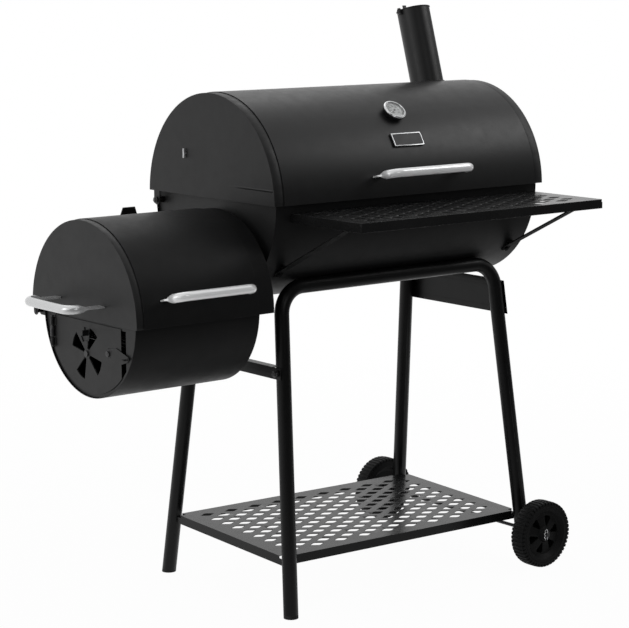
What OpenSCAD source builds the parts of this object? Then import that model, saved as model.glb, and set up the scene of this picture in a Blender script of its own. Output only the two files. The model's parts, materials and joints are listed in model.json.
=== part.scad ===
// Offset charcoal smoker: horizontal barrel with side firebox on a wheeled tube stand.
// +X runs from the firebox end to the wheel end, -Y is the front, +Z is up.
// The origin is under the middle of the whole object, on the ground.
// Measures below the title "Hidden" are worked out from the ones above it.

/* [Barrel] */
// Outer radius of the barrel's lower half
barrel_r = 218; // [212:1:221]
// How much larger the lid's outer radius is than the lower half's
lid_over = 11; // [10:0.5:13]
// Length of the lid over its two end plates
lid_length = 770; // [755:1:785]
// Height of the barrel's axis over the ground
barrel_height = 880; // [860:1:900]
// How far each end of the lower half stays inside the lid's end
body_inset = 11; // [10:0.5:12]
// Thickness of all sheet parts
sheet = 1.5; // [1.2:0.1:1.6]
// Distance from the lid's end to the seam of its wrapped skin
lid_seam = 29; // [24:1:34]
// Lower edge of the lid above the barrel axis
lid_edge = 3.5; // [2:0.5:5]
// Height of the lower half's edge above the barrel axis
body_edge = 22; // [18:1:26]
// Recess of the lower half's end plates behind its rim
end_recess = 6; // [4:0.5:7]
// Distance of the lid pivot inside the lower half's outer radius
pivot_inset = 18; // [16:1:22]
// Lid pivot distance below the barrel axis
lid_pivot_drop = 17; // [14:1:20]
// Depth of the charcoal pan, front to rear
pan_depth = 280; // [270:1:290]
// Height of the charcoal pan's walls
pan_wall = 26; // [22:1:28]
// Distance of the warming rack's pivot rod behind the barrel axis
rack_back = 88; // [84:1:90]
// Height of the warming rack over the barrel axis
rack_rise = 93; // [90:1:96]
// Depth of the warming rack, front to rear
rack_depth = 175; // [170:1:178]

/* [Firebox] */
// Outer radius of the firebox lid
firebox_lid_r = 198; // [195:1:201]
// Outer radius of the firebox's lower half
firebox_r = 172; // [168:1:174]
// Height of the firebox axis over the ground
firebox_height = 669.5; // [660:0.5:675]
// Distance of the firebox axis in front of the barrel axis
firebox_forward = 35; // [28:1:42]
// Length of the firebox over the lid end and the fixed hood
firebox_length = 342; // [330:1:354]
// Gap between the fixed hood's end disc and the barrel lid's end
hood_gap = 5; // [4:0.5:8]
// Width of the fixed hood band next to the barrel
hood_band = 41; // [36:1:46]
// Inset of the firebox's lower half at the door end
firebox_inset = 14; // [12.5:0.5:15]
// Width of the smoke passage
duct_width = 150; // [130:1:160]
// Height of the smoke passage
duct_height = 96; // [80:1:98]
// Radius of the door's round lower edge
door_r = 163; // [158:1:165]
// Number of air openings in the door
vent_count = 4; // [4:1:4]
// Outer radius of the air openings
vent_r = 56; // [50:1:58]
// Reach of the door in front of the firebox axis
door_front = 115; // [112:1:117]
// Reach of the door behind the firebox axis
door_rear = 135; // [133:1:136]
// Angle covered by one air opening
vent_angle = 36; // [30:1:38]

/* [Stand] */
// Radius of the leg tubes
leg_r = 16; // [15:0.5:17]
// Wall thickness of the leg tubes
leg_wall = 1.5; // [1.2:0.1:2]
// Bend radius of the leg frames, at the tube's middle
leg_bend = 60; // [52:1:68]
// Lean of each leg frame to the front or the rear, in degrees
leg_lean = 6.6; // [5.6:0.1:7.4]
// Outward splay of the legs within their frame, in degrees
leg_splay = 3.3; // [2.6:0.1:3.8]
// Half width of a leg frame, at the height of its top bar
leg_half = 307.5; // [300:0.5:312]
// Distance of the bar screws from the barrel's middle
bar_screw_x = 150; // [140:1:160]
// Height of the lower shelf's middle
tray_height = 128; // [120:1:136]
// Fall of the lower shelf towards the wheels, in degrees
tray_fall = 0.9; // [0:0.1:1.5]
// Tilt of the lower shelf, rear edge up, in degrees
tray_lean = 2; // [0:0.1:2.5]
// Length of the lower shelf
tray_length = 690; // [680:1:700]
// Depth of the folded rims of both shelves
rim = 20; // [16:1:22]
// Radius of the wheels
wheel_r = 77; // [72:1:82]
// Width of the wheels
wheel_width = 40; // [36:1:44]
// Reach of the wheels' hubs inwards from their rims
hub_reach = 22; // [18:1:24]
// Gap between each leg and the hub of the wheel beside it
wheel_gap = 3; // [2:0.5:6]
// Number of teeth round a wheel's tread
tread_teeth = 48; // [44:4:52]
// Radius of the axle rod
axle_r = 4; // [3.5:0.5:5]

/* [Shelf and fittings] */
// Length of the front shelf
shelf_length = 690; // [670:1:700]
// Distance of the front shelf's edge in front of the barrel axis
shelf_front = 447; // [430:1:460]
// Height of the front shelf below the barrel axis
shelf_drop = 14; // [12:1:16]
// Length of one lozenge opening in the shelves
slot_length = 40; // [32:1:44]
// Width of one lozenge opening in the shelves
slot_width = 19; // [15:0.5:21]
// Distance between openings along a row
slot_pitch = 68; // [66:1:70]
// Distance between staggered rows
slot_row = 19.75; // [19.25:0.25:20]
// Radius of the chimney pipe
chimney_r = 38.5; // [36:0.5:41]
// Distance from the barrel axis to the chimney's top
chimney_reach = 407; // [390:1:418]
// Distance of the chimney from the lid's right end
chimney_inset = 90; // [86:1:100]
// Backward lean of the chimney, in degrees
chimney_lean = 16.8; // [14:0.1:19]
// Radius of the bright handle tubes
handle_r = 9.5; // [8.5:0.5:10.5]
// Distance of the front fittings from the barrel's middle
fitting_x = 8; // [4:1:12]
// Length of the lid handle
handle_length = 248; // [235:1:262]
// Stand-off of the lid handle from the lid
handle_reach = 54; // [52:1:58]
// Length of the firebox lid's front handle
small_handle_length = 206; // [198:1:216]
// Stand-off of the firebox lid's front handle
small_handle_reach = 52; // [50:1:56]
// Width of the firebox lid's end handle
end_handle_width = 184; // [180:1:196]
// Stand-off of the firebox lid's end handle
end_handle_reach = 78; // [72:1:84]
// Radius of the thermometer's bezel
gauge_r = 26.5; // [25:0.5:28]
// Length of the bare badge plate
badge_length = 84; // [78:1:90]
// Width of the bare badge plate
badge_width = 31.5; // [30:0.5:36]
// Height of the badge plate over the lid
badge_rise = 5; // [3:0.5:6]

/* [Hidden] */
$fn = 72;
seat = 0.3;
run_gap = 0.08;
lap = 0.1;
big = 3000;
lid_r = barrel_r + lid_over;
lid_pivot_back = barrel_r - pivot_inset;
end_x = lid_length / 2;
chimney_x = end_x - chimney_inset;
rim_x = end_x - body_inset;
plate_x = rim_x - end_recess;
axis_z = barrel_height;
fb_y = -firebox_forward;
fb_z = firebox_height;
hood_x = -end_x - hood_gap;
fb_left = hood_x - firebox_length;
hood_left = hood_x - hood_band;
hood_r = firebox_lid_r - sheet - 1;
fb_rim_x = fb_left + firebox_inset;
fb_inner_x = hood_x - 20;
fb_pivot_r = (firebox_r + firebox_lid_r) / 2 - 1;
fb_pivot_y = fb_y + fb_pivot_r;
fb_pivot_z = fb_z - 13;
fb_edge = -5;
duct_y = fb_y + 12;
duct_z = (axis_z - barrel_r + fb_z + firebox_r) / 2 - 2;
bar_off = barrel_r + leg_r + seat;
bar_angle = 38.9;
bar_y = bar_off * sin(bar_angle);
bar_z = axis_z - bar_off * cos(bar_angle);
leg_ix = leg_half - leg_bend * tan((90 - leg_splay) / 2);
axle_z = wheel_r;
axle_w = (bar_z - axle_z) / cos(leg_lean);
axle_x = leg_half + axle_w * tan(leg_splay);
wheel_track = 2 * (leg_y(axle_z) + leg_r / cos(leg_lean) + wheel_gap + hub_reach + wheel_width);
axle_half = wheel_track / 2 + 6;
shift_x = ((axle_x + wheel_r) + (fb_left - end_handle_reach - handle_r)) / 2;
shift_y = (axle_half - shelf_front) / 2;
grate_z = axis_z - 16;
pan_z = axis_z - 75;
fb_grate_z = fb_z - 62;
rack_y = rack_back;
rack_z = axis_z + rack_rise;
rack_rod = 3;
door_right = fb_y - door_front;
door_left = fb_y + door_rear;
door_top = fb_z - 14.5;
door_x = fb_rim_x + 2;
vent_y = fb_y + 13;
vent_z = fb_z - 82;
vent_turn = 62;
pin_y = door_left + 4;
pin_x = door_x - 3.5;
latch_y = door_right + 46;
latch_z = fb_z - 71;
gauge_angle = 49.3;
gauge_x = fitting_x - 7;
badge_angle = 31.4;
badge_x = fitting_x - 6;
handle_angle = 12.1;
handle_x = fitting_x + 2.5;
cap_pivot = chimney_r + 5;
stop_low = firebox_lid_r - 48;
stop_high = firebox_lid_r + 2;
cap_base = chimney_reach + seat;

// Moves the object so that its origin is under the middle of its outline
module placed() translate([-shift_x, -shift_y, 0]) children();

// Round bar along X
module rod_x(x0, x1, r, yc, zc) translate([x0, yc, zc]) rotate([0, 90, 0]) cylinder(h = x1 - x0, r = r);

// Tube along X
module tube_x(x0, x1, ro, ri, yc, zc) difference() {
  rod_x(x0, x1, ro, yc, zc);
  rod_x(x0 - 1, x1 + 1, ri, yc, zc);
}

// Everything above or below a height
module above(z) translate([-big / 2, -big / 2, z]) cube([big, big, big]);
module below(z) translate([-big / 2, -big / 2, z - big]) cube([big, big, big]);

// A flat outline in (Y, Z) carried along X
module along_x(x0, len) translate([x0, 0, 0]) rotate([90, 0, 90]) linear_extrude(height = len) children();

// Frame standing on the barrel lid's surface at an angle above the front horizon
module on_barrel(a, x, r) translate([x, 0, axis_z]) rotate([90 - a, 0, 0]) translate([0, 0, r]) children();

// Frame standing on the firebox lid
module on_firebox(a, x, r) translate([x, fb_y, fb_z]) rotate([90 - a, 0, 0]) translate([0, 0, r]) children();

// One lozenge opening
module lozenge() polygon([[-slot_length / 2, 0], [-3, -slot_width / 2], [3, -slot_width / 2],
  [slot_length / 2, 0], [3, slot_width / 2], [-3, slot_width / 2]]);

// Staggered field of lozenges, cols half-pitches wide and rows deep
module lozenge_field(cols, rows) {
  for (c = [0 : cols - 1])
    for (r = [0 : rows - 1])
      if ((c + r) % 2 == 0)
        translate([(c - (cols - 1) / 2) * slot_pitch / 2, (r - (rows - 1) / 2) * slot_row]) lozenge();
}

/* Barrel, lower half */
module barrel_skin() placed() color("#26272a") difference() {
  intersection() {
    tube_x(-rim_x, rim_x, barrel_r, barrel_r - sheet, 0, axis_z);
    below(axis_z + body_edge);
  }
  for (s = [-1, 1])
    for (x = [-bar_screw_x, bar_screw_x])
      translate([x, 0, axis_z]) rotate([s * bar_angle, 0, 0]) translate([0, 0, -barrel_r - 2]) cylinder(h = 6, r = 3.3);
}

module barrel_end_blank(x0, x1) intersection() {
  rod_x(x0, x1, barrel_r - sheet - lap, 0, axis_z);
  below(axis_z + body_edge);
}

module pivot_hole(x0, x1) rod_x(x0, x1, 4.3, lid_pivot_back, axis_z - lid_pivot_drop);

module duct_hole(x0, x1, grow) translate([x0, duct_y - duct_width / 2 - grow, duct_z - duct_height / 2 - grow])
  cube([x1 - x0, duct_width + 2 * grow, duct_height + 2 * grow]);

module barrel_end_left() placed() color("#2a2b2e") difference() {
  barrel_end_blank(-plate_x, -plate_x + sheet);
  duct_hole(-plate_x - 1, -plate_x + sheet + 1, 0);
  pivot_hole(-plate_x - 1, -plate_x + sheet + 1);
}

module barrel_end_right() placed() color("#2a2b2e") difference() {
  barrel_end_blank(plate_x - sheet, plate_x);
  pivot_hole(plate_x - sheet - 1, plate_x + 1);
}

// Two rails the cooking grates rest on
rail_half = plate_x - sheet - 7;
rail_out = sqrt(pow(barrel_r - sheet, 2) - pow(axis_z - grate_z + 2, 2)) - seat;
module grate_rails() placed() color("#2a2b2e")
  for (s = [0, 1]) mirror([0, s, 0]) {
    translate([-rail_half, rail_out - 17, grate_z - 2]) cube([2 * rail_half, 17, 2]);
    translate([-rail_half, rail_out - 17, grate_z - 12]) cube([2 * rail_half, 2, 11]);
  }

// Two ledges the charcoal pan rests on
ledge_half = pan_depth / 2 - 30;
module pan_ledges() placed() color("#2a2b2e")
  for (s = [0, 1]) mirror([s, 0, 0]) {
    translate([plate_x - sheet - 34, -ledge_half, pan_z - 2]) cube([34, 2 * ledge_half, 2]);
    translate([plate_x - sheet - 2, -ledge_half, pan_z - 2]) cube([2, 2 * ledge_half, 16]);
  }

/* Stand */
// Centre line of a leg frame swept with a circle; l and r are the two legs' depths below the bar
module u_sweep(rad, l, r, ext) {
  rod_x(-leg_ix, leg_ix, rad, 0, 0);
  u_side(rad, r, ext);
  mirror([1, 0, 0]) u_side(rad, l, ext);
}

module u_side(rad, depth, ext) {
  translate([leg_ix, 0, -leg_bend]) rotate([90, 0, 0]) rotate([0, 0, leg_splay])
    rotate_extrude(angle = 90 - leg_splay) translate([leg_bend, 0]) circle(r = rad);
  leg_line() translate([0, 0, -leg_len(depth) - ext]) cylinder(h = leg_len(depth) + ext, r = rad);
}

module leg_line() translate([leg_ix + leg_bend * cos(leg_splay), 0, -leg_bend + leg_bend * sin(leg_splay)])
  rotate([0, -leg_splay, 0]) children();

function leg_len(depth) = (depth - leg_bend + leg_bend * sin(leg_splay)) / cos(leg_splay);
foot_depth = (bar_z - 5.5) / cos(leg_lean);
hub_depth = (bar_z - axle_z + 21) / cos(leg_lean);

module frame_plane(s) translate([0, s * bar_y, bar_z]) rotate([s * leg_lean, 0, 0]) children();

module leg_frame(s) difference() {
  frame_plane(s) difference() {
    u_sweep(leg_r, foot_depth, hub_depth, 0);
    u_sweep(leg_r - leg_wall, foot_depth, hub_depth, 1);
  }
  for (x = [-bar_screw_x, bar_screw_x])
    translate([x, 0, axis_z]) rotate([s * bar_angle, 0, 0]) translate([0, 0, -barrel_r - leg_r])
      cylinder(h = leg_r + 4, r = 3.3);
  translate([axle_x, s * leg_y(axle_z), axle_z]) rotate([90, 0, 0]) cylinder(h = 60, r = axle_r + seat, center = true);
}

module front_leg_frame() placed() color("#1d1e20") leg_frame(-1);
module rear_leg_frame() placed() color("#1d1e20") leg_frame(1);

// Plastic plugs closing the four tube ends; the left pair are the feet
module leg_end_caps() placed() color("#141414") intersection() {
  for (s = [-1, 1]) frame_plane(s) {
    mirror([1, 0, 0]) leg_plug(foot_depth, 9);
    leg_plug(hub_depth, 3);
  }
  above(0);
}

module leg_plug(depth, out) leg_line() translate([0, 0, -leg_len(depth)]) {
  translate([0, 0, -out]) cylinder(h = out, r = leg_r);
  cylinder(h = 7, r = leg_r - leg_wall - lap);
}

function leg_x(z) = leg_half + (bar_z - z) / cos(leg_lean) * tan(leg_splay);
function leg_y(z) = bar_y + (bar_z - z) * tan(leg_lean);

// Angle bar across the two left legs, leaning with them
cross_z = 518.5;
module left_cross_angle() placed() color("#1d1e20")
  translate([-leg_x(cross_z), 0, cross_z]) rotate([0, leg_splay, 0]) translate([-leg_r - seat / 2, 0, 0]) difference() {
    union() {
      translate([-2, -leg_y(cross_z) - 13, -12.5]) cube([2, 2 * leg_y(cross_z) + 26, 25]);
      translate([-2, -leg_y(cross_z) + 20, 10.5]) cube([25, 2 * leg_y(cross_z) - 40, 2]);
    }
    for (s = [-1, 1]) translate([-3, s * leg_y(cross_z), 0]) rotate([0, 90, 0]) cylinder(h = 6, r = 3.3);
  }

// Sheet panel across the two right legs under the barrel
panel_low = 578;
panel_high = 655;
module right_side_panel() placed() color("#2a2b2e")
  translate([leg_x(panel_low), 0, panel_low]) rotate([0, -leg_splay, 0]) translate([leg_r + seat / 2, 0, 0]) difference() {
    union() {
      along_x(0, sheet) polygon([[-leg_y(panel_low) - 14, 0], [leg_y(panel_low) + 14, 0],
        [leg_y(panel_high) + 14, panel_high - panel_low], [-leg_y(panel_high) - 14, panel_high - panel_low]]);
      translate([0, -leg_y(panel_low) + 22, 0]) cube([10, 2 * leg_y(panel_low) - 44, sheet]);
      translate([0, -leg_y(panel_high) + 22, panel_high - panel_low - sheet]) cube([10, 2 * leg_y(panel_high) - 44, sheet]);
    }
    for (s = [-1, 1]) for (h = [16, 60])
      translate([-2, s * leg_y(panel_low + h), h]) rotate([0, 90, 0]) cylinder(h = 6, r = 3.3);
  }

// A shelf sheet with folded rims and notched corners; its top is at height zero
module shelf_pan(len, dep, cols, rows, notch, low) {
  translate([0, 0, -sheet]) linear_extrude(height = sheet) difference() {
    square([len, dep], center = true);
    lozenge_field(cols, rows);
    for (sx = [-1, 1]) for (sy = [-1, 1])
      translate([sx * len / 2, sy * dep / 2]) square([2 * notch, 2 * notch], center = true);
  }
  for (s = [-1, 1]) {
    translate([-len / 2 + notch, s * (dep / 2 - sheet / 2) - sheet / 2, -low]) cube([len - 2 * notch, sheet, low]);
    translate([s * (len / 2 - sheet / 2) - sheet / 2, -dep / 2 + notch, -low]) cube([sheet, dep - 2 * notch, low]);
    translate([-len / 2, s * (dep / 2 - sheet / 2) - sheet / 2, -low]) cube([len, sheet, low - 6]);
    translate([s * (len / 2 - sheet / 2) - sheet / 2, -dep / 2, -low]) cube([sheet, dep, low - 6]);
  }
}

tray_reach = leg_y(tray_height - 6 + tray_length / 2 * tan(tray_fall)) - leg_r / cos(leg_lean) - 0.4;
tray_depth = 2 * tray_reach / cos(tray_lean);
tray_y = -tray_reach * tan(tray_lean) * tan(leg_lean);
module tray_plane() translate([0, tray_y, tray_height]) rotate([tray_lean, tray_fall, 0]) children();
module tray_screws(rad, x0, x1) for (sx = [-1, 1]) for (sy = [0, 1]) mirror([0, sy, 0])
  translate([sx * (tray_length / 2 - 11), tray_depth / 2 + x0, -rim + 8]) rotate([-90, 0, 0]) cylinder(h = x1 - x0, r = rad);
module lower_shelf() placed() color("#303134")
  tray_plane() difference() {
    shelf_pan(tray_length, tray_depth, 18, 17, 14, rim);
    tray_screws(3.3, -3, 3);
  }

shelf_back = sqrt(pow(barrel_r, 2) - pow(shelf_drop, 2)) + seat + 0.7;
shelf_dep = shelf_front - shelf_back;
module front_shelf() placed() color("#303134")
  translate([fitting_x, -shelf_back - shelf_dep / 2, axis_z - shelf_drop]) shelf_pan(shelf_length, shelf_dep, 18, 9, 2, rim);

// Flat brace from the barrel's side up to the underside of the front shelf
brace_a = 40.6;
brace_y0 = (barrel_r + 2.5) * cos(brace_a);
brace_z0 = axis_z - (barrel_r + 2.5) * sin(brace_a);
brace_y1 = shelf_front - 22;
brace_z1 = axis_z - shelf_drop - sheet - seat - 1.5;
brace_len = sqrt(pow(brace_y1 - brace_y0, 2) + pow(brace_z1 - brace_z0, 2));
brace_tilt = atan2(brace_z1 - brace_z0, brace_y1 - brace_y0);
module shelf_brace(x) translate([x, 0, 0]) {
  translate([-10, -brace_y0, brace_z0]) rotate([-brace_tilt, 0, 0]) translate([0, -brace_len, -1.5]) cube([20, brace_len, 3]);
  translate([-10, -brace_y1 - 6, brace_z1 - 1.5]) cube([20, 26, 3]);
  translate([0, 0, axis_z]) rotate([90 - (-brace_a), 0, 0]) translate([-10, -14, barrel_r + seat]) cube([20, 28, 3]);
  translate([0, 0, axis_z]) rotate([90 + brace_a, 0, 0]) translate([0, -8, barrel_r + seat + 1.5]) cylinder(h = 5, r = 5);
}
module shelf_brace_left() placed() color("#1d1e20") shelf_brace(fitting_x - shelf_length / 2 + sheet + 10.5);
module shelf_brace_right() placed() color("#1d1e20") shelf_brace(fitting_x + shelf_length / 2 - sheet - 14.5);

/* Axle and wheels */
module axle() placed() color("#8c8f94") difference() {
  translate([axle_x, 0, axle_z]) rotate([90, 0, 0]) cylinder(h = 2 * axle_half, r = axle_r, center = true);
  for (s = [-1, 1]) translate([axle_x, s * (axle_half - 3), axle_z]) cylinder(h = 20, r = 1.2, center = true);
}

// Hairpin clips with their washers at both axle ends
module axle_clips() placed() color("#c8cace")
  for (s = [-1, 1]) translate([axle_x, s * (axle_half - 3), axle_z]) {
    translate([0, 0, -9]) cylinder(h = 18, r = 1.1);
    translate([5.8, 0, 0]) {
      translate([0, 0, -9]) cylinder(h = 18, r = 1.1);
    }
    translate([2.9, 0, 9]) rotate([90, 0, 0]) rotate_extrude(angle = 180) translate([2.9, 0]) circle(r = 1.1);
  }

// Moulded wheel: toothed tread, dished web with six deep pockets, long hub
module wheel(s) translate([axle_x, s * (wheel_track / 2 - wheel_width / 2), axle_z]) rotate([s * -90, 0, 0]) difference() {
  rotate_extrude() polygon([
    [axle_r + run_gap, -wheel_width / 2 - hub_reach], [13, -wheel_width / 2 - hub_reach], [15, -wheel_width / 2 + 4],
    [17, -wheel_width / 2 + 12], [44, -wheel_width / 2 + 12], [51, -wheel_width / 2 + 9], [54, -wheel_width / 2 + 1],
    [56, -wheel_width / 2], [wheel_r - 9, -wheel_width / 2], [wheel_r - 3, -wheel_width / 2 + 3],
    [wheel_r, -wheel_width / 2 + 8], [wheel_r, wheel_width / 2 - 8], [wheel_r - 3, wheel_width / 2 - 3],
    [wheel_r - 9, wheel_width / 2], [wheel_r - 11, wheel_width / 2], [wheel_r - 12, wheel_width / 2 - 1.2],
    [wheel_r - 13, wheel_width / 2], [58, wheel_width / 2], [55, wheel_width / 2 - 3], [48, wheel_width / 2 - 11],
    [18, wheel_width / 2 - 7], [14, wheel_width / 2], [axle_r + run_gap, wheel_width / 2]]);
  for (i = [0 : 5]) rotate([0, 0, i * 60 + 12]) translate([0, 0, -wheel_width / 2 + 15])
    linear_extrude(height = wheel_width) polygon([[20, -1.8], [40, -10], [44, -7], [44, 7], [40, 10], [20, 1.8]]);
  for (i = [0 : tread_teeth - 1]) rotate([0, 0, (i + 0.5) * 360 / tread_teeth]) translate([wheel_r + 0.4, 0, -wheel_width])
    cylinder(h = 2 * wheel_width, r = 3);
}
module wheel_front() placed() color("#1b1c1d") wheel(-1);
module wheel_rear() placed() color("#1b1c1d") wheel(1);

// Screws that hold the stand: bars to barrel, angle and panel to legs
module stand_bolts() placed() color("#3a3b3e") {
  for (s = [-1, 1]) for (x = [-bar_screw_x, bar_screw_x])
    translate([x, 0, axis_z]) rotate([s * bar_angle, 0, 0]) {
      translate([0, 0, -barrel_r - leg_r + 1]) cylinder(h = leg_r + sheet + 1, r = 3);
      translate([0, 0, -barrel_r - seat - leg_wall - 7.5]) cylinder(h = 6, r = 5.2);
      translate([0, 0, -barrel_r + sheet + 0.35]) cylinder(h = 1.2, r = 7.5);
      translate([0, 0, -barrel_r + sheet + 1.3]) cylinder(h = 4, r = 5.5, $fn = 6);
    }
  for (s = [-1, 1]) {
    translate([-leg_x(cross_z), s * leg_y(cross_z), cross_z]) rotate([0, leg_splay, 0]) translate([-leg_r - seat / 2 - 5.5, 0, 0])
      rotate([0, 90, 0]) { cylinder(h = 3.5, r = 6); cylinder(h = 5.6, r = 3); }
    for (h = [16, 60])
      translate([leg_x(panel_low), 0, panel_low]) rotate([0, -leg_splay, 0]) translate([leg_r + seat / 2, s * leg_y(panel_low + h), h])
        rotate([0, 90, 0]) { translate([0, 0, sheet]) cylinder(h = 3.5, r = 6); cylinder(h = 3, r = 3); }
  }
  tray_plane() {
    tray_screws(3, -sheet - 3, 0.3);
    tray_screws(5.5, -sheet - 3.5, -sheet);
  }
}

/* Barrel lid */
// Pivot bolts with spacers, carried by the lower half's end plates
module lid_pivot_bolts() placed() color("#3a3b3e")
  for (s = [0, 1]) mirror([s, 0, 0]) {
    rod_x(plate_x - sheet - 5, plate_x - sheet, 7, lid_pivot_back, axis_z - lid_pivot_drop);
    rod_x(plate_x - sheet - 1, end_x + 1, 4, lid_pivot_back, axis_z - lid_pivot_drop);
    rod_x(plate_x + 0.01, end_x - sheet - seat, 7, lid_pivot_back, axis_z - lid_pivot_drop);
    rod_x(end_x + seat, end_x + 4, 6.5, lid_pivot_back, axis_z - lid_pivot_drop);
  }

module lid_skin() placed() color("#26272a") difference() {
  union() {
    intersection() {
      tube_x(-end_x + lid_seam - 4, end_x - lid_seam + 4, lid_r, lid_r - sheet, 0, axis_z);
      above(axis_z + lid_edge);
    }
    for (s = [0, 1]) mirror([0, s, 0])
      translate([-end_x + lid_seam + 2, lid_r - sheet - 2.2, axis_z + lid_edge]) cube([lid_length - 2 * lid_seam - 4, 2.6, 9]);
  }
  on_barrel(90 + chimney_lean, chimney_x, lid_r - 20) cylinder(h = 40, r = chimney_r - 3);
  on_barrel(gauge_angle, gauge_x, lid_r - 20) cylinder(h = 40, r = 6.5);
}

module lid_end() difference() {
  union() {
    intersection() {
      union() {
        rod_x(end_x - sheet, end_x, lid_r - sheet - lap, 0, axis_z);
        tube_x(end_x - lid_seam, end_x - 0.5, lid_r - sheet - lap, lid_r - 2 * sheet - lap, 0, axis_z);
      }
      above(axis_z + lid_edge);
    }
    rod_x(end_x - sheet, end_x, 10.5, lid_pivot_back, axis_z - lid_pivot_drop);
    translate([end_x - sheet, lid_pivot_back - 10.5, axis_z - lid_pivot_drop]) cube([sheet, 21, lid_pivot_drop + lid_edge + 8]);
  }
  rod_x(end_x - 3, end_x + 1, 4 + run_gap, lid_pivot_back, axis_z - lid_pivot_drop);
  rod_x(end_x - 3, end_x + 1, rack_rod + run_gap, rack_y, rack_z);
}
module lid_end_left() placed() color("#2a2b2e") mirror([1, 0, 0]) lid_end();
module lid_end_right() placed() color("#2a2b2e") lid_end();

// Bright tube handle bent into a U, its legs pinched flat towards their feet; stands up from Z = 0
module bent_handle(len, reach, flat) {
  bend = 22;
  top = reach - bend;
  rod_x(-len / 2 + handle_r + bend, len / 2 - handle_r - bend, handle_r, 0, reach);
  for (s = [0, 1]) mirror([s, 0, 0]) {
    translate([len / 2 - handle_r - bend, 0, top]) rotate([90, 0, 0])
      rotate_extrude(angle = 90) translate([bend, 0]) circle(r = handle_r);
    translate([len / 2 - handle_r, 0, 0]) {
      intersection() {
        translate([0, 0, top - 16]) cylinder(h = 16, r = handle_r);
        along_x(-handle_r - 1, 2 * handle_r + 2)
          polygon([[-1.8, top - 16], [1.8, top - 16], [handle_r + 0.4, top + 0.5], [-handle_r - 0.4, top + 0.5]]);
      }
      translate([0, 1.8, 0]) rotate([90, 0, 0]) linear_extrude(height = 3.6)
        polygon([[-flat / 2, 0.2], [flat / 2, 0.2], [flat / 2, top - 17], [handle_r - 0.6, top - 6],
          [0.6 - handle_r, top - 6], [-flat / 2, top - 17]]);
    }
  }
}

module lid_handle() placed() color("#d9dbde") on_barrel(handle_angle, handle_x, lid_r) difference() {
  bent_handle(handle_length, handle_reach, 27);
  translate([0, 0, -lid_r]) rotate([0, 90, 0]) cylinder(h = 600, r = lid_r + 0.05, center = true);
}

module thermometer_case() placed() color("#c8cace") on_barrel(gauge_angle, gauge_x, lid_r) difference() {
  union() {
    translate([0, 0, 0.9]) cylinder(h = 9, r = gauge_r - 3);
    translate([0, 0, 8]) cylinder(h = 5, r = gauge_r);
    translate([0, 0, 12.5]) cylinder(h = 2, r1 = gauge_r, r2 = gauge_r - 2);
    translate([0, 0, -70]) cylinder(h = 72, r = 2.5);
    translate([0, 0, -8]) cylinder(h = 10, r = 5.2);
  }
  translate([0, 0, 9]) cylinder(h = 12, r = gauge_r - 4);
}
module thermometer_dial() placed() color("#e8e6dd")
  on_barrel(gauge_angle, gauge_x, lid_r) translate([0, 0, 9.1]) cylinder(h = 0.8, r = gauge_r - 4.2);
module thermometer_needle() placed() color("#202020") on_barrel(gauge_angle, gauge_x, lid_r) translate([0, 0, 10.1]) {
  cylinder(h = 1.4, r = 2.4);
  rotate([0, 0, 215]) translate([-3, -0.6, 0.2]) cube([gauge_r - 8, 1.2, 0.6]);
}
module thermometer_lens() placed() color([0.85, 0.9, 0.92, 0.35])
  on_barrel(gauge_angle, gauge_x, lid_r) translate([0, 0, 12.3]) cylinder(h = 1.4, r = gauge_r - 4.1);

// Bare badge plate with a raised border, curved with the lid
module badge_plate() placed() color("#b9bbbe") difference() {
  badge_block(badge_length, badge_width, lid_r + 0.05, lid_r + badge_rise);
  badge_block(badge_length - 5, badge_width - 5, lid_r + badge_rise - 0.8, lid_r + badge_rise + 3);
}
module badge_block(len, wid, ri, ro) translate([badge_x, 0, axis_z]) rotate([90 - badge_angle, 0, 0]) intersection() {
  rotate([0, 90, 0]) difference() {
    cylinder(h = len, r = ro, center = true);
    cylinder(h = len + 2, r = ri, center = true);
  }
  translate([-len / 2 - 1, -wid / 2, 0]) cube([len + 2, wid, big]);
}

/* Chimney */
module chimney_pipe() placed() color("#26272a") difference() {
  on_barrel(90 + chimney_lean, chimney_x, 0) difference() {
    union() {
      translate([0, 0, lid_r - 12]) cylinder(h = chimney_reach - lid_r + 12, r = chimney_r);
      intersection() {
        translate([-cap_pivot - 4, -4, chimney_reach - 7]) cube([13, 8, 7]);
        translate([-cap_pivot, 0, chimney_reach - 7]) cylinder(h = 7, r = 9);
      }
    }
    translate([0, 0, lid_r - 20]) cylinder(h = chimney_reach, r = chimney_r - sheet);
    translate([-cap_pivot, 0, chimney_reach - 20]) cylinder(h = 40, r = 2.05);
  }
  rod_x(chimney_x - 100, chimney_x + 100, lid_r + 0.05, 0, axis_z);
}

// Flat cap that turns about the screw at its left edge
module chimney_cap() placed() color("#26272a") on_barrel(90 + chimney_lean, chimney_x, cap_base) difference() {
  union() {
    cylinder(h = sheet, r = chimney_r + 1.6);
    translate([-cap_pivot, -5, 0]) cube([12, 10, sheet]);
    translate([-cap_pivot, 0, 0]) cylinder(h = sheet, r = 5);
    translate([-chimney_r + 8, -1, 0]) cube([10, 2, 11]);
  }
  translate([-cap_pivot, 0, -1]) cylinder(h = 4, r = 2 + run_gap);
}
module cap_screw() placed() color("#8c8f94") on_barrel(90 + chimney_lean, chimney_x, cap_base) translate([-cap_pivot, 0, 0]) {
  translate([0, 0, -11]) cylinder(h = 15, r = 2);
  translate([0, 0, sheet + seat]) cylinder(h = 2.6, r = 3.8);
  translate([0, 0, -7 - 2 * seat - 3]) cylinder(h = 3, r = 3.8, $fn = 6);
}

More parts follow.
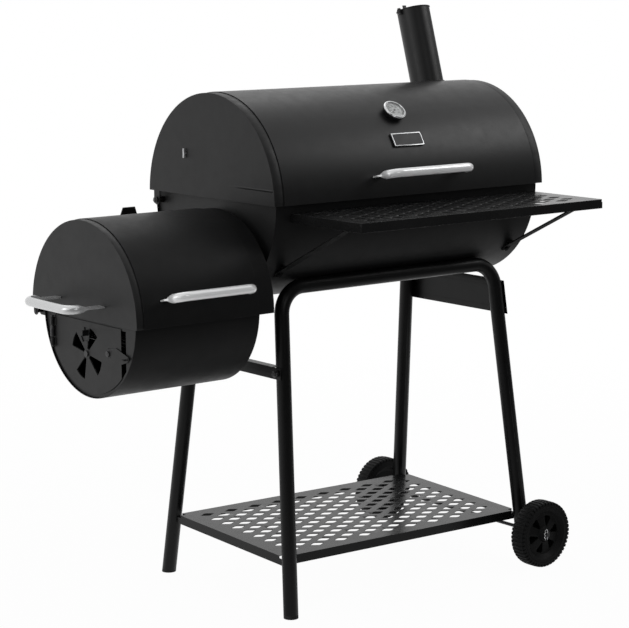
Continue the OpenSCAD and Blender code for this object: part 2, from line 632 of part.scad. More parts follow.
// Wire rack hung in the lid; it stays level when the lid turns
module warming_rack() placed() color("#9b9ea3") {
  rod_x(-end_x - 4, end_x + 4, rack_rod, rack_y, rack_z);
  for (s = [-1, 1]) translate([s * (end_x + 4), rack_y, rack_z - 9]) cylinder(h = 20, r = 2.5);
  for (f = [-20, -11, 9, 15]) rod_x(-end_x + 16, end_x - 16, 2.5, rack_y + f / 35 * rack_depth, rack_z);
  for (i = [-9 : 9]) translate([i * (end_x - 25) / 9, rack_y + 3 / 7 * rack_depth, rack_z + 2]) rotate([90, 0, 0]) cylinder(h = rack_depth, r = 2);
}

/* Firebox */
module firebox_skin() placed() color("#26272a") intersection() {
  tube_x(fb_rim_x, fb_inner_x, firebox_r, firebox_r - sheet, fb_y, fb_z);
  below(fb_z + 12);
}

// Fixed upper band and end disc next to the barrel
module firebox_hood() placed() color("#2a2b2e") difference() {
  union() {
    intersection() {
      union() {
        tube_x(hood_left - 5, hood_x, hood_r, hood_r - sheet, fb_y, fb_z);
        rod_x(hood_x - sheet, hood_x, hood_r, fb_y, fb_z);
      }
      above(fb_z + fb_edge);
    }
    for (s = [0, 1]) translate([fb_inner_x - 12, fb_y, 0]) mirror([0, s, 0])
      translate([0, firebox_r + seat, fb_z - 5]) cube([12 + 20 - 0.5, firebox_lid_r - firebox_r - sheet - 2, 2]);
  }
  duct_hole(hood_x - 10, hood_x + 10, 0);
}

module firebox_end_inner() placed() color("#2a2b2e") difference() {
  intersection() {
    rod_x(fb_inner_x - 6 - sheet, fb_inner_x - 6, firebox_r - sheet - lap, fb_y, fb_z);
    below(fb_z + 12);
  }
}

// Door end plate with its wide opening
module firebox_end_outer() placed() color("#2a2b2e") difference() {
  intersection() {
    rod_x(door_x + sheet + seat, door_x + 2 * sheet + seat, firebox_r - sheet - lap, fb_y, fb_z);
    below(fb_z + 12);
  }
  intersection() {
    rod_x(door_x - 5, door_x + 10, firebox_r - 9, fb_y, fb_z);
    translate([door_x - 5, door_right - 15, 0]) cube([15, door_left - 16 - door_right + 15, door_top - 3.5]);
  }
}

module smoke_duct() placed() color("#2a2b2e") difference() {
  duct_hole(hood_x + 0.01, -plate_x - 0.01, 3);
  duct_hole(hood_x - 1, -plate_x + 1, 0);
}

fb_rail_out = sqrt(pow(firebox_r - sheet, 2) - pow(fb_z - fb_grate_z + 2, 2)) - seat;
module firebox_rails() placed() color("#2a2b2e")
  for (s = [0, 1]) translate([fb_rim_x + 16, fb_y, 0]) mirror([0, s, 0])
    translate([0, fb_rail_out - 14, fb_grate_z - 2]) cube([fb_inner_x - fb_rim_x - 30, 14, 2]);

// Two lugs with pins behind the firebox; the lid turns on them
module firebox_hinge_lugs() placed() color("#3a3b3e") {
  for (x = [fb_rim_x, hood_left - 12]) difference() {
    union() {
      translate([x, fb_y + firebox_r - 4, fb_pivot_z - 9]) cube([3, fb_pivot_r - firebox_r + 6, 18]);
      rod_x(x, x + 3, 9, fb_pivot_y, fb_pivot_z);
    }
    rod_x(x - 1, x + 5, firebox_r + 0.05, fb_y, fb_z);
  }
  rod_x(fb_left - 1.5, fb_rim_x + 2, 4, fb_pivot_y, fb_pivot_z);
  rod_x(hood_left - 10, hood_left - 5.4, 4, fb_pivot_y, fb_pivot_z);
}

module firebox_lid_skin() placed() color("#26272a") {
  intersection() {
    union() {
      tube_x(fb_left + 17, hood_left, firebox_lid_r, firebox_lid_r - sheet, fb_y, fb_z);
      tube_x(hood_left - 8, hood_left - 8 + sheet, firebox_lid_r - 0.5, firebox_r + 4, fb_y, fb_z);
    }
    above(fb_z + fb_edge);
  }
  difference() {
    union() {
      rod_x(hood_left - 8, hood_left - 8 + sheet, 8, fb_pivot_y, fb_pivot_z);
      translate([hood_left - 8, fb_pivot_y - 8, fb_pivot_z]) cube([sheet, 16, 13]);
    }
    rod_x(hood_left - 9, hood_left, 4 + run_gap, fb_pivot_y, fb_pivot_z);
  }
}

module firebox_lid_end() placed() color("#2a2b2e") difference() {
  union() {
    intersection() {
      union() {
        rod_x(fb_left, fb_left + sheet, firebox_lid_r - sheet - lap, fb_y, fb_z);
        tube_x(fb_left + 0.5, fb_left + 21, firebox_lid_r - sheet - lap, firebox_lid_r - 2 * sheet - lap, fb_y, fb_z);
      }
      above(fb_z + fb_edge);
    }
    rod_x(fb_left, fb_left + sheet, 8, fb_pivot_y, fb_pivot_z);
    translate([fb_left, fb_pivot_y - 8, fb_pivot_z]) cube([sheet, 16, 13]);
  }
  rod_x(fb_left - 1, fb_left + 3, 4 + run_gap, fb_pivot_y, fb_pivot_z);
}

module firebox_front_handle() placed() color("#d9dbde")
  on_firebox(14, (fb_left + hood_left) / 2 + 16.5, firebox_lid_r) difference() {
    bent_handle(small_handle_length, small_handle_reach, 27);
    translate([0, 0, -firebox_lid_r]) rotate([0, 90, 0]) cylinder(h = 600, r = firebox_lid_r + 0.05, center = true);
  }

module firebox_end_handle() placed() color("#d9dbde")
  translate([fb_left, fb_y + 11, fb_z + 28]) rotate([0, -90, 0]) rotate([0, 0, 90]) translate([0, 0, 0.05 - 0.2])
    bent_handle(end_handle_width, end_handle_reach + 0.15, 21);

// Bent stop plate on the back of the firebox lid
module lid_stop_bracket() placed() color("#2a2b2e") difference() {
  translate([fb_left + 187, 74, 0]) rotate([90, 0, 0]) linear_extrude(height = 3)
    polygon([[-34, fb_z + stop_low], [32, fb_z + stop_low], [16, fb_z + stop_high], [-14, fb_z + stop_high]]);
  rod_x(fb_left + 100, fb_left + 300, firebox_lid_r + 0.05, fb_y, fb_z);
}

/* Firebox door */
module wedge(r0, r1, a0, a1) intersection() {
  difference() {
    circle(r = r1);
    circle(r = r0);
  }
  polygon([[0, 0], [90 * cos(a0), 90 * sin(a0)], [90 * cos((a0 + a1) / 2) * 1.2, 90 * sin((a0 + a1) / 2) * 1.2],
    [90 * cos(a1), 90 * sin(a1)]]);
}

// Flat outline seen from outside, placed on the door; X of the outline runs to the front
module on_door(x0, len) translate([x0, vent_y, vent_z]) mirror([0, 1, 0]) rotate([90, 0, 90]) linear_extrude(height = len) children();

module vent_openings(grow) for (i = [0 : vent_count - 1])
  wedge(11, vent_r + grow, vent_turn + i * 90 - vent_angle / 2 - grow, vent_turn + i * 90 + vent_angle / 2 + grow);

module firebox_door() placed() color("#2a2b2e") {
  difference() {
    intersection() {
      rod_x(door_x, door_x + sheet, door_r, fb_y, fb_z);
      translate([door_x - 1, door_right, 0]) cube([10, door_left - door_right, door_top]);
    }
    on_door(door_x - 1, 4) {
      vent_openings(0);
      wedge(26, vent_r - 1, 78, 99);
      wedge(26, 40, 95, 122);
      circle(r = 3 + run_gap);
    }
    rod_x(door_x - 1, door_x + 3, 3 + run_gap, latch_y, latch_z);
  }
  for (z = [door_top - 66, door_top - 23]) difference() {
    union() {
      translate([pin_x, pin_y, z]) cylinder(h = 16, r = 4.6);
      translate([pin_x + 2, door_left - 6, z]) cube([2.8, 7, 16]);
    }
    translate([pin_x, pin_y, z - 1]) cylinder(h = 20, r = 2.5 + run_gap);
  }
}

// Hinge pin and its middle bracket on the door end plate
module door_hinge_pin() placed() color("#3a3b3e") {
  translate([pin_x, pin_y, door_top - 70]) cylinder(h = 67, r = 2.5);
  translate([pin_x, pin_y, door_top - 48]) cylinder(h = 23, r = 4.6);
  translate([pin_x, pin_y + 1, door_top - 48]) cube([door_x + sheet + seat - pin_x, 8, 23]);
  translate([pin_x, pin_y, door_top - 70]) cylinder(h = 2, r = 4);
  translate([pin_x, pin_y, door_top - 5]) cylinder(h = 2, r = 4);
}

// Turning disc behind the door with matching openings and a bent tab
module door_damper() placed() color("#2a2b2e") {
  on_door(door_x + sheet + seat + 0.2, sheet) difference() {
    circle(r = vent_r + 5);
    vent_openings(0);
    circle(r = 3 + run_gap);
  }
  translate([0, vent_y, vent_z]) mirror([0, 1, 0]) rotate([vent_turn + 25, 0, 0])
    translate([door_x - 12, 38, -1]) cube([12 + sheet + seat + 0.4, 12, 2]);
}

module damper_rivet() placed() color("#3a3b3e") {
  rod_x(door_x - seat - 2, door_x + 8, 3, vent_y, vent_z);
  rod_x(door_x - seat - 2.6, door_x - seat, 6, vent_y, vent_z);
  rod_x(door_x + 2 * sheet + 2 * seat + 0.3, door_x + 2 * sheet + 2 * seat + 2.6, 6, vent_y, vent_z);
}

// Swinging latch whose arm reaches past the keeper
module door_latch() placed() color("#35363a") difference() {
  union() {
    rod_x(door_x - seat - sheet, door_x - seat, 11, latch_y, latch_z);
    along_x(door_x - seat - sheet, sheet) polygon([[latch_y + 6, latch_z + 9], [latch_y - 30, latch_z + 16], [latch_y - 74, latch_z + 3],
      [latch_y - 76, latch_z - 2], [latch_y - 70, latch_z - 8], [latch_y - 46, latch_z - 16], [latch_y - 20, latch_z - 15], [latch_y, latch_z - 10]]);
    translate([door_x - seat - 12, latch_y - 73, latch_z - 3]) cube([12, 10, sheet]);
  }
  rod_x(door_x - seat - sheet - 1, door_x - seat + 1, 3 + run_gap, latch_y, latch_z);
}
module latch_rivet() placed() color("#8c8f94") {
  rod_x(door_x - seat - sheet - 3, door_x + 6, 3, latch_y, latch_z);
  rod_x(door_x - 2 * seat - sheet - 2.4, door_x - 2 * seat - sheet, 6, latch_y, latch_z);
}

// Keeper on the rim beside the door
module latch_keeper() placed() color("#2a2b2e") intersection() {
  along_x(door_x + seat, sheet) polygon([[latch_y - 63, latch_z - 1], [latch_y - 86, latch_z - 1], [latch_y - 86, latch_z - 16],
    [latch_y - 78, latch_z - 27], [latch_y - 68, latch_z - 28], [latch_y - 63, latch_z - 22]]);
  rod_x(door_x - 9, door_x + 30, firebox_r - sheet - seat, fb_y, fb_z);
}

/* Grates and pan */
module wire_grate(x0, x1, yc, half, z, step) {
  for (s = [-1, 1]) rod_x(x0, x1, 3, yc + s * (half - 3), z + 3 + seat);
  for (s = [-1, 1]) rod_x(x0 + 2, x1 - 2, 3, yc + s * half / 3, z + 3 + seat);
  n = floor((x1 - x0 - 8) / step);
  for (i = [0 : n]) translate([(x0 + x1) / 2 + (i - n / 2) * step, yc + half, z + 6.6 + seat]) rotate([90, 0, 0]) cylinder(h = 2 * half, r = 2.2);
}
module cooking_grate_left() placed() color("#5c5f64") wire_grate(-plate_x + sheet + 3, -1.5, 0, rail_out - 3, grate_z, 18);
module cooking_grate_right() placed() color("#5c5f64") wire_grate(1.5, plate_x - sheet - 3, 0, rail_out - 3, grate_z, 18);

pan_half = plate_x - sheet - 10;
module charcoal_pan() placed() color("#2f3033") translate([0, 0, pan_z + seat]) difference() {
  translate([-pan_half, -pan_depth / 2, 0]) cube([2 * pan_half, pan_depth, pan_wall]);
  translate([-pan_half + sheet, -pan_depth / 2 + sheet, sheet]) cube([2 * (pan_half - sheet), pan_depth - 2 * sheet, pan_wall]);
  for (i = [-6 : 6]) for (j = [-2 : 2])
    translate([i * pan_half / 7.75, j * pan_depth / 6.35, 0]) cube([pan_half / 13.7, pan_depth / 35, 10], center = true);
}

module firebox_grate() placed() color("#5c5f64")
  wire_grate(fb_rim_x + 14, fb_inner_x - 12, fb_y, fb_rail_out - 3, fb_grate_z, 20);

barrel_skin();
barrel_end_left();
barrel_end_right();
grate_rails();
pan_ledges();
front_leg_frame();
rear_leg_frame();
leg_end_caps();
left_cross_angle();
right_side_panel();
lower_shelf();
front_shelf();
shelf_brace_left();
shelf_brace_right();
axle();
axle_clips();
stand_bolts();
lid_pivot_bolts();
firebox_skin();
firebox_hood();
firebox_end_inner();
firebox_end_outer();
smoke_duct();
firebox_rails();
firebox_hinge_lugs();
door_hinge_pin();
latch_keeper();
lid_skin();
lid_end_left();
lid_end_right();
lid_handle();
thermometer_case();
thermometer_dial();
thermometer_needle();
thermometer_lens();
badge_plate();
chimney_pipe();
chimney_cap();
cap_screw();
warming_rack();
firebox_lid_skin();
firebox_lid_end();
firebox_front_handle();
firebox_end_handle();
lid_stop_bracket();
firebox_door();
door_damper();
damper_rivet();
door_latch();
latch_rivet();
cooking_grate_left();
cooking_grate_right();
charcoal_pan();
firebox_grate();
wheel_front();
wheel_rear();
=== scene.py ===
import bpy, bmesh, json, math
from mathutils import Vector, Matrix


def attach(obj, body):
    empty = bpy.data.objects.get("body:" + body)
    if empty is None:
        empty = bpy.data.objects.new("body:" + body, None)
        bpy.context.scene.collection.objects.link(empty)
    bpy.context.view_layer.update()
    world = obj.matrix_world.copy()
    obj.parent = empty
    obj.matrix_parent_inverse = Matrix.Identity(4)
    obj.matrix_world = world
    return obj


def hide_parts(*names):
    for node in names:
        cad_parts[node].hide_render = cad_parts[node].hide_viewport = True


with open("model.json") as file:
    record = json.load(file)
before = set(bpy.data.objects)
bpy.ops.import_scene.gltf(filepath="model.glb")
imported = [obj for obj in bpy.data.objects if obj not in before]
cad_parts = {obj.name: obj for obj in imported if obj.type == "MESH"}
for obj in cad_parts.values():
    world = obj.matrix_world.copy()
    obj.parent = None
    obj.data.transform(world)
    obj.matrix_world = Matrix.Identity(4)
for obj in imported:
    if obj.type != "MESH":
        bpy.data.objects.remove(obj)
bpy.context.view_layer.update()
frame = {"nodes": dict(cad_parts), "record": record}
NODES = frame["nodes"]

# ---------------------------------------------------------------- frame of the drum
# The drum's own coordinates are millimetres from its middle; the row frame is metres. Named values are in
# millimetres and degrees where no comment gives metres.
SX, SY = 199.487, 70.4745


def P(x, y, z):
    """A place in the row frame from the drum's own millimetres."""
    return Vector(((x + SX) / 1000, (y + SY) / 1000, z / 1000))


AXIS_Z = 880.0  # height of the barrel's axis
LID_R = 229.0  # outer radius of the barrel lid
LID_HALF = 385.0  # half the lid's length, to its ends' outer faces
FB_Y = -35.0  # the firebox's axis, in front of the barrel's
FB_Z = 669.5  # height of the firebox's axis
FB_LID_R = 198.0  # outer radius of the firebox lid
SHEET = 1.6  # sheet thickness with a little room
AXLE_X, AXLE_Z = 343.53, 77.0
WHEEL_MID, WHEEL_W = 280.05, 40.0  # the wheels' middles, front and rear, and their width
PIVOT_Y, PIVOT_Z = 200.0, 863.0  # the barrel lid's pivot
CHIMNEY_LEAN, CHIMNEY_R, CHIMNEY_X = 16.8, 38.5, 295.0
# fittings: degrees above the front horizon, place along the drum, and half the span between a handle's legs
HANDLE_ANGLE, HANDLE_X, HANDLE_HALF = 12.1, 10.5, 114.5
SMALL_ANGLE, SMALL_X, SMALL_HALF = 14.0, -565.0, 93.5
GAUGE_ANGLE, GAUGE_X = 49.3, 1.0
BADGE_ANGLE, BADGE_X = 31.4, 2.0
# a leg frame's bar: its height, how far its legs stand to the side there, and how far it stands to the front
LEG_TOP, LEG_HALF_X, LEG_HALF_Y = 697.66, 307.5, 147.13
LEG_LEAN, LEG_SPLAY = math.radians(6.6), math.radians(3.3)


def leg_x(z):
    """How far a leg's line stands out to the side at a height."""
    return LEG_HALF_X + (LEG_TOP - z) / math.cos(LEG_LEAN) * math.tan(LEG_SPLAY)


def leg_y(z):
    """How far a leg's line stands out to the front or rear at a height."""
    return LEG_HALF_Y + (LEG_TOP - z) * math.tan(LEG_LEAN)


def on_drum(angle, x, r, cy=0.0, cz=AXIS_Z):
    """A place and its outward normal, angle degrees above the front horizon of the drum."""
    a = math.radians(angle)
    n = Vector((0, -math.cos(a), math.sin(a)))
    return P(x, cy + n.y * r, cz + n.z * r), n


# ---------------------------------------------------------------- shader helpers
class Net:
    """A material's node tree in object coordinates, with short calls for the nodes used here."""

    def __init__(self, name):
        self.m = bpy.data.materials.new(name)
        self.m.use_nodes = True
        self.t = self.m.node_tree
        self.b = self.t.nodes["Principled BSDF"]
        self.out = self.t.nodes["Material Output"]
        self.co = self.n("ShaderNodeTexCoord").outputs["Object"]

    def n(self, kind, **props):
        node = self.t.nodes.new(kind)
        for k, v in props.items():
            setattr(node, k, v)
        return node

    def link(self, a, b):
        self.t.links.new(a, b)

    def noise(self, scale, detail=3.0, rough=0.5, stretch=None, dist=0.0):
        co = self.co
        if stretch:
            mp = self.n("ShaderNodeMapping")
            mp.inputs["Scale"].default_value = stretch
            self.link(co, mp.inputs["Vector"])
            co = mp.outputs["Vector"]
        t = self.n("ShaderNodeTexNoise")
        t.inputs["Scale"].default_value = scale
        t.inputs["Detail"].default_value = detail
        t.inputs["Roughness"].default_value = rough
        t.inputs["Distortion"].default_value = dist
        self.link(co, t.inputs["Vector"])
        return t.outputs["Fac"]

    def ramp(self, src, lo, hi, a=0.0, b=1.0):
        r = self.n("ShaderNodeMapRange")
        r.inputs["From Min"].default_value = lo
        r.inputs["From Max"].default_value = hi
        r.inputs["To Min"].default_value = a
        r.inputs["To Max"].default_value = b
        self.link(src, r.inputs["Value"])
        return r.outputs["Result"]

    def math(self, op, a, b):
        m = self.n("ShaderNodeMath", operation=op)
        for s, v in zip(m.inputs, (a, b)):
            if isinstance(v, (int, float)):
                s.default_value = v
            else:
                self.link(v, s)
        return m.outputs[0]

    def mix(self, fac, a, b):
        m = self.n("ShaderNodeMix", data_type="RGBA")
        for s, v in ((m.inputs[0], fac), (m.inputs[6], a), (m.inputs[7], b)):
            if isinstance(v, (int, float)):
                s.default_value = v
            elif isinstance(v, (tuple, list)):
                s.default_value = (*v, 1.0)
            else:
                self.link(v, s)
        return m.outputs[2]

    def bump(self, height, distance, strength=1.0, under=None):
        b = self.n("ShaderNodeBump")
        b.inputs["Distance"].default_value = distance
        b.inputs["Strength"].default_value = strength
        self.link(height, b.inputs["Height"])
        if under is not None:
            self.link(under, b.inputs["Normal"])
        return b.outputs["Normal"]

    def edges(self, radius):
        """1 on convex edges and 0 on flats, from a rounded normal."""
        bv = self.n("ShaderNodeBevel", samples=4)
        bv.inputs["Radius"].default_value = radius
        g = self.n("ShaderNodeNewGeometry")
        d = self.n("ShaderNodeVectorMath", operation="DOT_PRODUCT")
        self.link(bv.outputs["Normal"], d.inputs[0])
        self.link(g.outputs["Normal"], d.inputs[1])
        return self.ramp(d.outputs["Value"], 0.985, 0.90)

    def axes(self):
        """The X, Y and Z of the place, as separate outputs."""
        place = self.n("ShaderNodeSeparateXYZ")
        self.link(self.co, place.inputs[0])
        return place.outputs

    def put(self, socket, v):
        """Set a Principled socket to a number, a colour or a link."""
        s = self.b.inputs[socket]
        if isinstance(v, (int, float)):
            s.default_value = v
        elif isinstance(v, (tuple, list)):
            s.default_value = (*v, 1.0) if len(v) == 3 else v
        else:
            self.link(v, s)


BARE = (0.09, 0.09, 0.092)  # grey primer where the paint is thin
# the line pressed into the lid's left end, in metres: height, half width, and where it fades in and out
CREASE_Z, CREASE_WIDTH = 0.915, 0.0026
CREASE_FRONT, CREASE_REAR = (-0.152, -0.147), (-0.05, 0.0)


def painted(
    name, colour, rough, spread=0.06, spec=0.3, peel=0.35, wave=0.0, wear=0.35, worn=BARE, crease=None
):
    """Black powder coat: orange peel, a slow drift in tone, fine dust, and thinner paint at the edges."""
    s = Net(name)
    drift = s.noise(5.0, 4.0, 0.6)
    fine = s.noise(950.0, 2.0, 0.5)
    grit = s.noise(2600.0, 1.0, 0.5)
    cloud = s.noise(38.0, 5.0, 0.65)
    dark = tuple(c * 0.78 for c in colour)
    light = tuple(c * 1.25 for c in colour)
    tone = s.mix(s.ramp(drift, 0.3, 0.7), dark, light)
    speck = s.ramp(grit, 0.66, 0.80, 0.0, 0.55)
    tone = s.mix(speck, tone, tuple(c * 2.1 for c in colour))
    if wear:
        edge = s.math("MULTIPLY", s.edges(0.0014), s.ramp(s.noise(70.0, 4.0, 0.7), 0.42, 0.66))
        edge = s.math("MULTIPLY", edge, wear)
        tone = s.mix(edge, tone, worn)
    s.put("Base Color", tone)
    gloss = s.ramp(cloud, 0.25, 0.75, rough - spread, rough + spread)
    s.put("Roughness", s.math("ADD", gloss, s.ramp(fine, 0.3, 0.7, -0.02, 0.02)))
    s.put("Specular IOR Level", spec)
    n = s.bump(fine, 0.00006, peel)
    n = s.bump(grit, 0.00002, peel * 0.7, n)
    if wave:
        n = s.bump(s.noise(7.0, 2.0, 0.4, (0.5, 1.0, 1.0)), 0.0022, wave, n)
    if crease:  # a pressed line at that height, over the front part of the sheet
        place = s.axes()
        off = s.math("ABSOLUTE", s.math("SUBTRACT", place["Z"], crease), 0.0)
        fold = s.ramp(off, 0.0, CREASE_WIDTH, 1.0, 0.0)
        fold = s.math("MULTIPLY", fold, s.ramp(place["Y"], *CREASE_REAR, 1.0, 0.0))
        fold = s.math("MULTIPLY", fold, s.ramp(place["Y"], *CREASE_FRONT))
        n = s.bump(fold, 0.0012, 1.0, n)
    s.link(n, s.b.inputs["Normal"])
    return s.m


ALONG_X, ALONG_Y = (0.03, 1.0, 1.0), (1.0, 0.03, 1.0)  # stretch of polishing streaks


def plated(
    name, colour, rough, spread, streak=0.25, tint=0.0, metal=1.0, pits=0.0, black=None, along=ALONG_X
):
    """Bright plating: polishing streaks, a light haze, and a few pits or a warm tint where asked; a metal
    share below 1 leaves the rest of the colour matt, which on the handles is painted sheen.
    """
    s = Net(name)
    haze = s.noise(26.0, 5.0, 0.6)
    lines = s.noise(900.0, 2.0, 0.6, along)
    tone = s.mix(s.ramp(haze, 0.3, 0.7), tuple(c * 0.93 for c in colour), colour)
    if tint:
        tone = s.mix(s.ramp(s.noise(60.0, 4.0, 0.7), 0.45, 0.75, 0.0, tint), tone, (0.62, 0.56, 0.40))
    if pits:
        pit = s.ramp(s.noise(700.0, 1.0, 0.5), 0.68, 0.76, 0.0, pits)
        tone = s.mix(pit, tone, tuple(c * 0.25 for c in colour))
    if black:  # sides below the bright face are painted black
        side = black(s)
        tone = s.mix(side, (0.010, 0.010, 0.010), tone)
        s.put("Metallic", s.ramp(side, 0.0, 1.0, 0.0, metal))
    else:
        s.put("Metallic", metal)
    s.put("Base Color", tone)
    gloss = s.ramp(haze, 0.25, 0.75, rough - spread, rough + spread)
    s.put("Roughness", s.math("ADD", gloss, s.ramp(lines, 0.3, 0.7, -0.03, 0.05)))
    s.link(s.bump(lines, 0.00001, streak), s.b.inputs["Normal"])
    return s.m


def moulded(name, colour, rough, spec=0.35, grain=0.5, wear=0.25):
    """Moulded black plastic: spark-eroded grain, flow marks and rubbed edges."""
    s = Net(name)
    grainy = s.noise(1500.0, 3.0, 0.6)
    flow = s.noise(30.0, 4.0, 0.6, dist=1.5)
    tone = s.mix(s.ramp(flow, 0.3, 0.7), tuple(c * 0.8 for c in colour), tuple(c * 1.25 for c in colour))
    if wear:
        edge = s.math("MULTIPLY", s.edges(0.001), s.ramp(s.noise(110.0, 3.0, 0.6), 0.4, 0.7, 0.0, wear))
        tone = s.mix(edge, tone, (0.10, 0.10, 0.10))
    s.put("Base Color", tone)
    s.put("Roughness", s.ramp(flow, 0.2, 0.8, rough - 0.07, rough + 0.07))
    s.put("Specular IOR Level", spec)
    s.link(s.bump(grainy, 0.00012, grain), s.b.inputs["Normal"])
    return s.m


def enamel(name, colour, rough):
    """Vitreous enamel: glassy, with faint pale flecks and a rolling surface."""
    s = Net(name)
    fleck = s.noise(1100.0, 1.0, 0.5)
    tone = s.mix(s.ramp(fleck, 0.70, 0.76, 0.0, 0.7), colour, (0.22, 0.22, 0.23))
    tone = s.mix(s.ramp(s.noise(24.0, 4.0, 0.6), 0.4, 0.8, 0.0, 0.5), tone, tuple(c * 0.5 for c in colour))
    s.put("Base Color", tone)
    s.put("Roughness", s.ramp(s.noise(60.0, 4.0, 0.6), 0.3, 0.7, rough - 0.06, rough + 0.08))
    s.put("Specular IOR Level", 0.4)
    s.link(s.bump(s.noise(320.0, 2.0, 0.5), 0.00012, 0.5), s.b.inputs["Normal"])
    return s.m


def rack_wire(name):
    """Plated steel wire: bright where its hooks stand outside the lid, dark brown-black within."""
    s = Net(name)
    off = s.math("ABSOLUTE", s.math("SUBTRACT", s.axes()["X"], SX / 1000), 0.0)
    bright = s.ramp(off, (LID_HALF - 0.2) / 1000, (LID_HALF + 0.6) / 1000)
    inside_dark = s.mix(s.ramp(s.noise(40.0, 5.0, 0.65), 0.3, 0.7), (0.035, 0.032, 0.030), (0.10, 0.095, 0.09))
    outside_bright = s.mix(s.ramp(s.noise(90.0, 3.0, 0.6), 0.3, 0.7), (0.58, 0.58, 0.59), (0.72, 0.72, 0.73))
    s.put("Base Color", s.mix(bright, inside_dark, outside_bright))
    s.put("Metallic", s.ramp(bright, 0.0, 1.0, 0.6, 0.75))
    s.put("Roughness", s.ramp(s.noise(300.0, 3.0, 0.6), 0.3, 0.7, 0.28, 0.44))
    s.link(s.bump(s.noise(900.0, 2.0, 0.5), 0.00002, 0.4), s.b.inputs["Normal"])
    return s.m


def printed(name, colour):
    """Matt print on the dial, slightly uneven."""
    s = Net(name)
    tone = s.mix(s.ramp(s.noise(120.0, 4.0, 0.6), 0.3, 0.7), tuple(c * 0.94 for c in colour), colour)
    s.put("Base Color", tone)
    s.put("Roughness", s.ramp(s.noise(400.0, 2.0, 0.5), 0.3, 0.7, 0.42, 0.55))
    s.link(s.bump(s.noise(1800.0, 2.0, 0.5), 0.00001, 0.3), s.b.inputs["Normal"])
    return s.m


def clear(name):
    """Thin clear glass that lets shadow rays through."""
    s = Net(name)
    s.put("Base Color", (0.97, 0.985, 0.99))
    s.put("Transmission Weight", 1.0)
    s.put("IOR", 1.45)
    s.put("Roughness", s.ramp(s.noise(60.0, 4.0, 0.6), 0.35, 0.75, 0.01, 0.05))
    thin = s.n("ShaderNodeBsdfTransparent")
    rays = s.n("ShaderNodeLightPath")
    pick = s.n("ShaderNodeMixShader")
    s.link(rays.outputs["Is Shadow Ray"], pick.inputs["Fac"])
    s.link(s.b.outputs["BSDF"], pick.inputs[1])
    s.link(thin.outputs["BSDF"], pick.inputs[2])
    s.link(pick.outputs["Shader"], s.out.inputs["Surface"])
    return s.m


GAUGE, GN = on_drum(GAUGE_ANGLE, GAUGE_X, LID_R)
BEZEL_LOW, BEZEL_HIGH = 0.0110, 0.0118  # heights over the lid, in metres, where the black case turns bright
RIM_LOW, RIM_HIGH = 4.3, 4.7  # heights over the lid where the badge's black sides turn bright


def above_case(s):
    """1 on the thermometer's bright bezel and 0 on its body below."""
    off = s.n("ShaderNodeVectorMath", operation="SUBTRACT")
    s.link(s.co, off.inputs[0])
    off.inputs[1].default_value = GAUGE
    high = s.n("ShaderNodeVectorMath", operation="DOT_PRODUCT")
    s.link(off.outputs["Vector"], high.inputs[0])
    high.inputs[1].default_value = GN
    return s.ramp(high.outputs["Value"], BEZEL_LOW, BEZEL_HIGH)


def above_badge(s):
    """1 on the badge's raised rim and 0 on its sides, by the distance from the drum's axis."""
    off = s.n("ShaderNodeVectorMath", operation="SUBTRACT")
    s.link(s.co, off.inputs[0])
    off.inputs[1].default_value = P(0, 0, AXIS_Z)
    flat = s.n("ShaderNodeVectorMath", operation="MULTIPLY")
    s.link(off.outputs["Vector"], flat.inputs[0])
    flat.inputs[1].default_value = (0, 1, 1)
    far = s.n("ShaderNodeVectorMath", operation="LENGTH")
    s.link(flat.outputs["Vector"], far.inputs[0])
    return s.ramp(far.outputs["Value"], (LID_R + RIM_LOW) / 1000, (LID_R + RIM_HIGH) / 1000)


